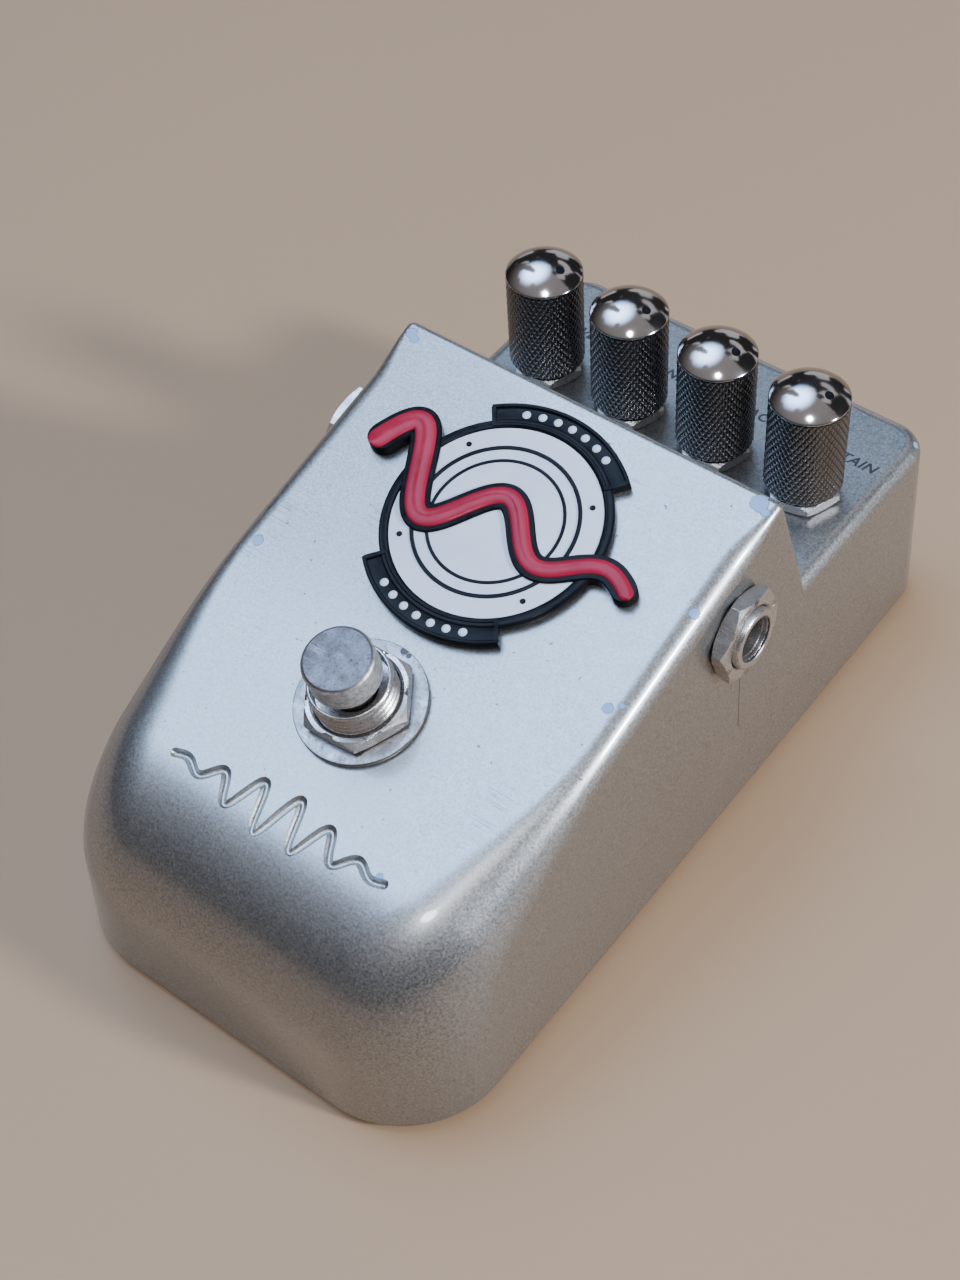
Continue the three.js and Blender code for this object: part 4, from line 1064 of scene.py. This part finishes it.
field_r = np.linspace(FIELD_RADIUS, 0, 24)
field_profile = np.concatenate([
    [[0, PLATE_Z - 0.1], [FIELD_RADIUS, PLATE_Z - 0.1]],
    np.column_stack([field_r, field_height(field_r)]),
])
enamel = made(
    "badge_field", badge_frame, *turned(field_profile, 128), "case", "white_enamel", ["badge_disc"]
)


def ring(radius, width, bottom, top):
    return turned(box_section(radius - width / 2, radius + width / 2, bottom, top, 0.1), 128)


def drop_at(angle, radius, size, bottom, top):
    """A small round drop with a domed top, at an angle and radius on the badge."""
    t = math.radians(angle)
    section = [
        [0, bottom], [size, bottom], [size, top - 0.12], [size * 0.85, top - 0.04],
        [size * 0.5, top], [0, top + 0.02],
    ]
    points, faces = turned(section, 24)
    return points.reshape(-1, 3) + [radius * math.cos(t), radius * math.sin(t), 0], faces


rings = [ring(11.7, 0.6, 1.3, 1.68), ring(9.6, 0.5, 1.3, 1.66)]
rings += [drop_at(a, 13.4, 0.42, 1.3, 1.68) for a in (38, 142, 218, 322)]
badge_rings = made("badge_rings", badge_frame, *several(rings), "case", "black_badge")
drops = []
for middle in (BAND_TILT, BAND_TILT + 180):
    drops += [drop_at(middle + a, 17.25, 0.62, 1.3, 1.6) for a in (-24, -16, -8, 0, 8, 16, 24)]
badge_drops = made("badge_drops", badge_frame, *several(drops), "case", "white_enamel")

# %% [markdown]
# ## Sockets and lamp
#
# A jack socket's threaded bush ends in a chamfered ring, and inside it sits the bright sleeve
# that the plug slides into. The ring and the sleeve are turned. The power socket in the rear
# wall has the same kind of mouth, with a pin in its middle.

# %% Jack mouths and sleeves
mouth_section = softened(
    [
        [3.25, 0], [3.25, 2.9], [3.6, 3.32], [4.3, 3.32], [4.56, 3.05], [4.56, -2.4],
        [3.25, -2.4], [3.25, 0],
    ],
    0.08,
)
sleeve_section = softened(
    [[3.19, 0], [3.19, 2.2], [3.24, 2.3], [3.26, -12], [3.19, -12], [3.19, 0]], 0.02
)
jack_parts = [
    made(f"{side}_{part}", matrix, *turned(section), "case", "worn_nickel")
    for side, matrix in jack_frames.items()
    for part, section in (("mouth", mouth_section), ("sleeve", sleeve_section))
]

# %% Power socket and lamp
socket_section = softened(
    [
        [2.9, -1], [2.9, -0.7], [3.2, -0.36], [4.45, -0.36], [4.66, -0.6], [4.66, -2.5],
        [2.9, -2.5], [2.9, -1],
    ],
    0.06,
)
pin_section = softened([[0, -9.2], [0.8, -9.2], [0.8, -1.9], [0.5, -1.45], [0, -1.4]], 0.2)
lamp_section = softened(
    [
        [0, -5], [1.9, -5], [1.9, -4], [1.5, -4], [1.5, 0.2], [1.4, 0.75], [0.9, 1.25], [0, 1.45],
    ],
    0.3, 6,
)
power_mouth = made("power_mouth", power_frame, *turned(socket_section), "case", "black_plastic")
power_pin = made(
    "power_pin", power_frame, *turned(pin_section, 48), "case", "tinned_contact",
    ["power_socket_pin"],
)
lamp = made(
    "lamp_lens", lamp_frame, *turned(lamp_section, 64), "case", "lamp_red", ["status_lamp"]
)

# %% [markdown]
# ## Printing
#
# Each knob has its word printed behind it on the deck, in slanted black capitals a few
# hundredths of a millimetre thick, made a mesh before they are placed. A thin printed line runs
# down the right wall from the jack.

# %% Printed words


def printed(name, text, matrix, height, slant):
    """A word as a thin solid in a frame, centred on it, with capitals of the given height."""
    curve = bpy.data.curves.new(name, "FONT")
    curve.body = text
    curve.size = height / 0.7 * MM
    curve.shear = slant
    curve.space_character = 1.08
    curve.offset = 0.035 * height * MM
    curve.extrude = 0.012 * MM
    curve.resolution_u = 4
    curve.align_x = "CENTER"
    maker = bpy.data.objects.new(name, curve)
    bpy.context.scene.collection.objects.link(maker)
    graph = bpy.context.evaluated_depsgraph_get()
    mesh = bpy.data.meshes.new_from_object(maker.evaluated_get(graph))
    bpy.data.objects.remove(maker)
    mesh.name = name
    shift = np.array(matrix, float)
    shift[:3, 3] *= MM
    mesh.transform(Matrix(shift.tolist()))
    return finished(linked(name, mesh), "case")


WORDS = ("LEVEL", "TONE", "ATTACK", "SUSTAIN")
LABEL_Y = 51.0
labels = [
    printed(f"word_{text.lower()}", text, frame_at((x, LABEL_Y, DECK_Z)), 1.75, 0.28)
    for text, x in zip(WORDS, (-23.2, -7.7, 7.7, 24.6))
]
INPUT_LINE = [(10.55, 27.6), (10.2, 21.5), (10.0, 17.2)]
line_y, line_z = np.array(INPUT_LINE).T
down = (JACK_Z - line_z) / math.cos(SIDE_DRAFT)
line = even_line(down[::-1], (line_y - JACK_Y)[::-1], 60)
mark = made(
    "input_line", jack_frames["input"], *strip(line, 0.46, -0.02, 0.02, 0, 5),
    "case", "black_badge",
)

# %% [markdown]
# ## Finishes
#
# A finish is more than a colour. Each one here says how the piece was made and how it has worn:
# metallic flakes under a clear coat, chips where the case was knocked, brushed turning marks on
# nickel, dimples in enamel. Patterns read object coordinates, so they stay with the piece.

# %% Material tools


class Finish:
    """A material with its main shader, and short ways to add the nodes that a pattern needs. The
    first colour, metallic share and roughness stay only where no pattern is linked."""

    def __init__(self, name, colour, metallic=0.0, roughness=0.5, **sockets):
        self.material = bpy.data.materials.new(name)
        self.material.use_nodes = True
        self.tree = self.material.node_tree
        self.shader = self.tree.nodes["Principled BSDF"]
        self.shader.inputs["Base Color"].default_value = (*colour, 1)
        self.shader.inputs["Metallic"].default_value = metallic
        self.shader.inputs["Roughness"].default_value = roughness
        for socket, value in sockets.items():
            self.shader.inputs[socket.replace("_", " ")].default_value = value
        self.place = self.node("TexCoord").outputs["Object"]

    def node(self, kind, **settings):
        made_node = self.tree.nodes.new("ShaderNode" + kind)
        for key, value in settings.items():
            setattr(made_node, key, value)
        return made_node

    def feed(self, source, target):
        """Links an output to an input, or sets the input to a number or a vector."""
        if isinstance(source, bpy.types.NodeSocket):
            self.tree.links.new(source, target)
        else:
            target.default_value = source

    def math(self, operation, a, b=0.0):
        n = self.node("Math", operation=operation)
        self.feed(a, n.inputs[0])
        self.feed(b, n.inputs[1])
        return n.outputs[0]

    def stretched(self, scale, turn):
        """The coordinates, stretched and then turned."""
        n = self.node("Mapping")
        n.inputs["Rotation"].default_value = turn
        n.inputs["Scale"].default_value = scale
        self.feed(self.place, n.inputs["Vector"])
        return n.outputs[0]

    def noise(self, scale, detail=2.0, roughness=0.5, place=None):
        n = self.node("TexNoise")
        n.inputs["Scale"].default_value = scale
        n.inputs["Detail"].default_value = detail
        n.inputs["Roughness"].default_value = roughness
        self.feed(place or self.place, n.inputs["Vector"])
        return n.outputs["Fac"]

    def ramp(self, value, low, high, a=0.0, b=1.0):
        """a below low, b above high, and a straight rise between."""
        n = self.node("MapRange")
        n.clamp = True
        for socket, v in zip(n.inputs[:5], (value, low, high, a, b)):
            self.feed(v, socket)
        return n.outputs[0]

    def mixed(self, share, a, b):
        n = self.node("Mix", data_type="RGBA")
        self.feed(share, n.inputs[0])
        self.feed(a if isinstance(a, bpy.types.NodeSocket) else (*a, 1), n.inputs[6])
        self.feed(b if isinstance(b, bpy.types.NodeSocket) else (*b, 1), n.inputs[7])
        return n.outputs[2]

    def bump(self, height, distance, strength=1.0):
        n = self.node("Bump")
        n.inputs["Strength"].default_value = strength
        n.inputs["Distance"].default_value = distance
        self.feed(height, n.inputs["Height"])
        return n.outputs[0]

    def feeding(self, socket):
        """The output that a socket of the main shader is linked to."""
        return self.shader.inputs[socket].links[0].from_socket

    def to(self, socket, source):
        self.feed(source, self.shader.inputs[socket])
        return self

    def spots(self, centres, ragged=0.35, grain=700):
        """1 inside any of several ragged spots, 0 outside. Each is x, y, z and radius, in mm.
        A spot is where the distance to its centre, shaken by noise, is less than its radius."""
        shake = self.math("MULTIPLY_ADD", self.noise(grain, 3), 2 * ragged)
        shake.node.inputs[2].default_value = 1 - ragged
        nearest = None
        for x, y, z, radius in centres:
            n = self.node("VectorMath", operation="DISTANCE")
            self.feed(self.place, n.inputs[0])
            n.inputs[1].default_value = (x * MM, y * MM, z * MM)
            share = self.math("DIVIDE", n.outputs["Value"], radius * MM)
            nearest = share if nearest is None else self.math("MINIMUM", nearest, share)
        return self.ramp(self.math("MULTIPLY", nearest, shake), 0.92, 1.0, 1.0, 0.0)

    def scratches(self, turn, scale, width, amount):
        """Thin lines: noise that is stretched along one direction, kept where it is near one
        value, and only in patches."""
        place = self.stretched((scale * 0.03, scale, scale), turn)
        line = self.math("ABSOLUTE", self.math("SUBTRACT", self.noise(1.0, 1, 0.4, place), 0.5))
        patch = self.ramp(self.noise(60, 2), 1 - amount, 1 - amount + 0.06)
        return self.math("MULTIPLY", self.ramp(line, 0, width, 1.0, 0.0), patch)


def dress(finish, *pieces):
    """Gives the finish to pieces or CAD nodes, in place of what they had."""
    for piece in pieces:
        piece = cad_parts[piece] if isinstance(piece, str) else piece
        piece.data.materials.clear()
        piece.data.materials.append(finish.material)
    print(finish.material.name, "on", len(pieces), "pieces")


# %% [markdown]
# The paint is silver with a little champagne in it. Fine flakes give it sparkle, the clear coat
# over them is glossy and a little uneven, as sprayed lacquer is, and each knock on an edge has
# chipped it down to a pale blue primer.

# %% Case paint
CHIPS = [
    (-30.2, 19.6, 52.3, 0.85), (-29.2, 18.9, 52.1, 0.7), (29.2, 20.0, 52.3, 1.35),
    (30.6, 19.2, 51.6, 0.8), (-28.6, -18.0, 42.8, 0.9), (16.9, -48.0, 35.2, 0.6),
    (30.8, 2.4, 47.6, 0.85), (28.8, -14.5, 43.6, 0.85), (30.0, -13.2, 43.6, 0.5),
    (24.3, -54.8, 33.3, 1.1), (25.1, -53.4, 33.4, 0.75), (22.9, -55.4, 33.3, 0.6),
    (29.9, -58.6, 26.0, 1.15), (-31.3, -35.0, 38.0, 0.4), (31.5, 60.2, 30.4, 0.7),
]
paint = Finish("case_paint", (0.5, 0.49, 0.47), 0.9, 0.36, Coat_Weight=0.75, Coat_Roughness=0.07)
flakes = paint.noise(2900, 3, 0.75)
tone = paint.mixed(paint.ramp(flakes, 0.3, 0.72), (0.145, 0.143, 0.138), (0.41, 0.406, 0.393))
cloud = paint.mixed(paint.ramp(paint.noise(45, 3), 0.35, 0.7), tone, (0.292, 0.288, 0.277))
tone = paint.mixed(0.35, tone, cloud)
chips = paint.spots(CHIPS)
specks = paint.ramp(paint.noise(1150, 1, 0.3), 0.79, 0.80)
marks = paint.math(
    "MAXIMUM",
    paint.scratches((0.2, 0.1, 0.7), 900, 0.012, 0.38),
    paint.scratches((0.1, 0.3, -0.9), 700, 0.01, 0.34),
)
tone = paint.mixed(paint.math("MULTIPLY", marks, 0.35), tone, (0.56, 0.57, 0.585))
tone = paint.mixed(paint.math("MULTIPLY", specks, 0.75), tone, (0.09, 0.08, 0.07))
tone = paint.mixed(chips, tone, (0.19, 0.29, 0.48))
unpainted = paint.math("MAXIMUM", chips, specks)
height = paint.math("MULTIPLY", paint.noise(260, 2, 0.4), 0.12)
height = paint.math("SUBTRACT", height, paint.math("MULTIPLY", unpainted, 0.9))
height = paint.math("SUBTRACT", height, paint.math("MULTIPLY", marks, 0.15))
paint.to("Base Color", tone)
paint.to("Metallic", paint.ramp(unpainted, 0, 1, 0.9, 0.0))
paint.to("Roughness", paint.ramp(flakes, 0.3, 0.8, 0.32, 0.46))
paint.to("Coat Weight", paint.ramp(unpainted, 0, 1, 0.75, 0.0))
paint.to("Normal", paint.bump(height, 0.00012))
dress(paint, case)

# %% [markdown]
# Nickel on the switch and nuts has lost its mirror: it is covered in fine pits and rubbed marks,
# a little warmer and rougher where it is worn. The cap's side carries a pale painted highlight, a
# painted reflection of the light in front, so its flat top's tone is darker than its side.

# %% Worn nickel


def nickel(name, colour, worn_colour, roughness, grain, pits, metallic=1.0):
    """Worn tone and roughness follow a cloud, pits follow fine noise, and both follow scuffs."""
    finish = Finish(name, colour, metallic, roughness)
    wear = finish.ramp(finish.noise(420, 4, 0.7), 0.36, 0.68)
    fine = finish.noise(grain, 3, 0.75)
    tone = finish.mixed(finish.math("MULTIPLY", wear, 0.55), colour, worn_colour)
    tone = finish.mixed(finish.ramp(fine, 0.56, 0.70, 0, pits), tone, (0.05, 0.046, 0.045))
    scuffs = finish.scratches((0.2, 0.1, 0.9), 1500, 0.02, 0.45)
    tone = finish.mixed(finish.math("MULTIPLY", scuffs, 0.5), tone, (0.8, 0.79, 0.78))
    finish.to("Base Color", tone)
    rough = finish.math("ADD", wear, fine)
    finish.to("Roughness", finish.ramp(rough, 0.5, 1.5, roughness - 0.08, roughness + 0.16))
    finish.to("Normal", finish.bump(fine, 0.00005, 0.8))
    return finish


def stomp_cap_finish():
    """The height along the stem, place times the slope's normal, parts the top from the side, which
    gets a pale painted highlight.
    """
    finish = nickel(
        "cap_nickel_wear_and_painted_highlight", (0.15, 0.143, 0.152), (0.10, 0.095, 0.10), 0.44, 3100, 0.9, 0.85
    )
    stem = finish.node("VectorMath", operation="DOT_PRODUCT")
    finish.feed(finish.place, stem.inputs[0])
    stem.inputs[1].default_value = (0, -math.sin(SLOPE), math.cos(SLOPE))
    top = float(switch_frame[:3, 2] @ switch_frame[:3, 3]) + CAP_TOP
    side = finish.ramp(stem.outputs["Value"], (top - 0.35) * MM, (top - 0.12) * MM, 1, 0)
    side_highlight_mottle = finish.ramp(finish.noise(1300, 4, 0.7), 0.4, 0.62)
    # Painted highlight: the cap's side is made pale, a painted reflection of the light in front,
    # with a mottle in it.
    painted_side_highlight = finish.mixed(side_highlight_mottle, (0.58, 0.57, 0.56), (0.32, 0.30, 0.29))
    finish.to("Base Color", finish.mixed(side, finish.feeding("Base Color"), painted_side_highlight))
    return finish


def washer_finish():
    """Scuffed nickel with one dark chip of two spots."""
    finish = nickel(
        "scuffed_washer", (0.285, 0.275, 0.275), (0.17, 0.157, 0.152), 0.34, 1700, 0.6, 0.9
    )
    chip = finish.spots([(0.8, -21.8, 42.9, 0.62), (1.7, -22.1, 42.8, 0.4)])
    finish.to("Metallic", finish.ramp(chip, 0, 1, 1.0, 0.0))
    dark = finish.mixed(chip, finish.feeding("Base Color"), (0.02, 0.018, 0.016))
    return finish.to("Base Color", dark)


bright_nickel = nickel(
    "bright_nickel", (0.54, 0.52, 0.51), (0.34, 0.315, 0.295), 0.27, 2800, 0.5, 0.92
)
dress(stomp_cap_finish(), cap)
dress(washer_finish(), washer)
dress(bright_nickel, bush, switch_nut, *jack_nuts, *pot_nuts, *jack_parts)

# %% [markdown]
# The knobs are plated in a dark nickel, polished on the dome. The knurl is given a darker tone,
# a painted shade for the beads breaking the reflection up by their shape. Painted shade darkens
# the grooves, which are found by their distance from the knob's axis, so each knob has its own
# copy.

# %% Knob plating


def knob_plating(number, x):
    """Painted groove shade share: full where the distance from the axis is a groove's depth under
    the crests.
    """
    finish = Finish(f"dark_chrome_painted_shade_{number}", (0.5, 0.48, 0.48), 1.0, 0.13)
    from_axis = finish.node("VectorMath", operation="MULTIPLY_ADD")
    finish.feed(finish.place, from_axis.inputs[0])
    from_axis.inputs[1].default_value = (1, 1, 0)
    from_axis.inputs[2].default_value = (-x * MM, -CONTROL_Y * MM, 0)
    radius = finish.node("VectorMath", operation="LENGTH")
    finish.feed(from_axis.outputs[0], radius.inputs[0])
    height = finish.node("SeparateXYZ")
    finish.feed(finish.place, height.inputs[0])
    edge = (DECK_Z + SHOULDER) * MM
    knurl = finish.ramp(height.outputs["Z"], edge - 0.3 * MM, edge - 0.2 * MM, 1, 0)
    crest = KNOB_RADIUS * MM
    groove = finish.ramp(radius.outputs["Value"], crest - 0.2 * MM, crest - 0.06 * MM, 1, 0)
    shaded_grooves = finish.math("MULTIPLY", groove, knurl)
    smear = finish.ramp(finish.noise(240, 4, 0.6), 0.4, 0.7)
    haze = finish.math("MULTIPLY", smear, 0.25)
    dome_tone = finish.mixed(haze, (0.42, 0.40, 0.40), (0.33, 0.30, 0.30))
    # Painted shade: the knurl gets a darker tone than the dome, though both are the same plating.
    tone = finish.mixed(knurl, dome_tone, (0.17, 0.165, 0.17))
    # Painted shade: the grooves are darkened nearly to black; they are also made rougher below.
    painted_groove_shade = finish.math("MULTIPLY", shaded_grooves, 0.9)
    finish.to("Base Color", finish.mixed(painted_groove_shade, tone, (0.012, 0.011, 0.012)))
    rough = finish.ramp(smear, 0, 1, 0.09, 0.17)
    finish.to("Roughness", finish.math("ADD", rough, finish.math("MULTIPLY", shaded_grooves, 0.4)))
    return finish


for number, (x, knob) in enumerate(zip(CONTROL_X, knobs), 1):
    dress(knob_plating(number, x), knob)

# %% [markdown]
# Enamel is glass: hard, glossy, with a faint orange-peel. The black lacquer on the raised metal
# is smooth too, but it is set to mirror little, so that it stays black under the bright window.

# %% Enamel and lacquer


def glazed(name, colour, other, roughness, gloss):
    """Two close tones in a cloud, with an uneven gloss and a faint ripple."""
    finish = Finish(name, colour, 0.0, roughness, Specular_IOR_Level=gloss)
    cloud = finish.ramp(finish.noise(190, 3), 0.35, 0.7)
    finish.to("Base Color", finish.mixed(cloud, colour, other))
    peel = finish.noise(900, 2)
    finish.to("Roughness", finish.ramp(peel, 0.3, 0.7, roughness - 0.05, roughness + 0.09))
    finish.to("Normal", finish.bump(finish.noise(650, 2), 0.00003, 0.5))
    return finish


white_glaze = glazed("white_enamel", (0.55, 0.575, 0.63), (0.49, 0.52, 0.59), 0.16, 0.25)
red_glaze = glazed("red_enamel", (0.30, 0.012, 0.034), (0.225, 0.008, 0.024), 0.14, 0.12)
black_lacquer = glazed("black_lacquer", (0.004, 0.004, 0.005), (0.009, 0.009, 0.011), 0.16, 0.05)
ink = Finish("printing_ink", (0.011, 0.011, 0.012), 0.0, 0.5)
ink.to("Roughness", ink.ramp(ink.noise(1500, 2), 0.3, 0.7, 0.4, 0.62))
dress(white_glaze, enamel, badge_drops)
dress(red_glaze, badge_wave)
dress(black_lacquer, badge_plate, badge_border, badge_rings, *dots)
dress(ink, mark, *labels)

# %% [markdown]
# The rest: satin black plastic, matt rubber with a fine leather grain, bright zinc on steel, and
# the pieces inside the case, which are seen only when it is open.

# %% Plastics, rubber, zinc and brass


def plain_finish(name, colour, other, metallic, roughness, grain, depth=0.00003):
    """Two tones mixed by a soft cloud, with an even fine grain."""
    finish = Finish(name, colour, metallic, roughness)
    cloud = finish.ramp(finish.noise(grain / 8, 3), 0.35, 0.7)
    finish.to("Base Color", finish.mixed(cloud, colour, other))
    fine = finish.noise(grain, 3, 0.6)
    finish.to("Roughness", finish.ramp(fine, 0.3, 0.7, roughness - 0.08, roughness + 0.1))
    finish.to("Normal", finish.bump(fine, depth, 0.6))
    return finish


black_plastic = plain_finish(
    "black_plastic", (0.018, 0.018, 0.02), (0.028, 0.028, 0.03), 0, 0.42, 2400
)
rubber = plain_finish(
    "mat_rubber", (0.016, 0.016, 0.017), (0.03, 0.029, 0.028), 0, 0.78, 1100, 0.00012
)
zinc = plain_finish("zinc_plate", (0.58, 0.58, 0.57), (0.48, 0.49, 0.5), 1, 0.34, 1600)
brass = plain_finish("turned_brass", (0.62, 0.46, 0.2), (0.5, 0.36, 0.15), 1, 0.3, 1800)
tin = plain_finish("tinned", (0.7, 0.69, 0.66), (0.58, 0.57, 0.55), 1, 0.36, 1300)
board_mask = plain_finish("board_mask", (0.02, 0.16, 0.055), (0.016, 0.12, 0.04), 0, 0.35, 900)
sleeve_film = plain_finish("capacitor_film", (0.02, 0.03, 0.06), (0.03, 0.04, 0.08), 0, 0.28, 1500)
foam = plain_finish("open_foam", (0.035, 0.035, 0.038), (0.06, 0.06, 0.064), 0, 0.92, 700, 0.0004)
battery_film = plain_finish("battery_film", (0.03, 0.07, 0.2), (0.04, 0.09, 0.24), 0, 0.3, 1200)
red_cover = plain_finish("red_insulation", (0.4, 0.02, 0.02), (0.32, 0.015, 0.015), 0, 0.45, 2000)
black_cover = plain_finish(
    "black_insulation", (0.015, 0.015, 0.015), (0.025, 0.025, 0.025), 0, 0.5, 2000
)
lens = Finish("lamp_lens", (0.45, 0.008, 0.01), 0.0, 0.12, Transmission_Weight=0.35, IOR=1.49)
lens.to("Roughness", lens.ramp(lens.noise(1200, 2), 0.3, 0.7, 0.08, 0.18))

groups = {
    rubber: [mat],
    zinc: [*screws, "base_plate", "switch_lock_nut", "switch_spring"]
    + [f"knob_set_screw_{i}" for i in range(1, 5)]
    + [f"pot_body_{i}" for i in range(1, 5)],
    black_plastic: [
        power_mouth, "switch_body", "input_jack", "output_jack",
        "power_socket", "op_amp_chip", "battery_snap",
    ],
    brass: [f"pot_shaft_{i}" for i in range(1, 5)] + ["input_jack_tip", "output_jack_tip"],
    tin: [power_pin, "switch_lug_1", "switch_lug_2"],
    board_mask: ["circuit_board"],
    sleeve_film: ["capacitor_1", "capacitor_2", "capacitor_3"],
    foam: ["battery_pad"],
    battery_film: ["battery"],
    red_cover: ["battery_lead_red"],
    black_cover: ["battery_lead_black"],
    lens: [lamp],
}
for finish, pieces in groups.items():
    dress(finish, *pieces)

# %% [markdown]
# The floor is a plain pale board, a little warm, so that the paint's lower half takes a warm
# tint from it as it would from a table.

# %% Floor finish
floor_finish = Finish("pale_floor", (0.30, 0.185, 0.10), 0.0, 0.65)
dress(floor_finish, floor)
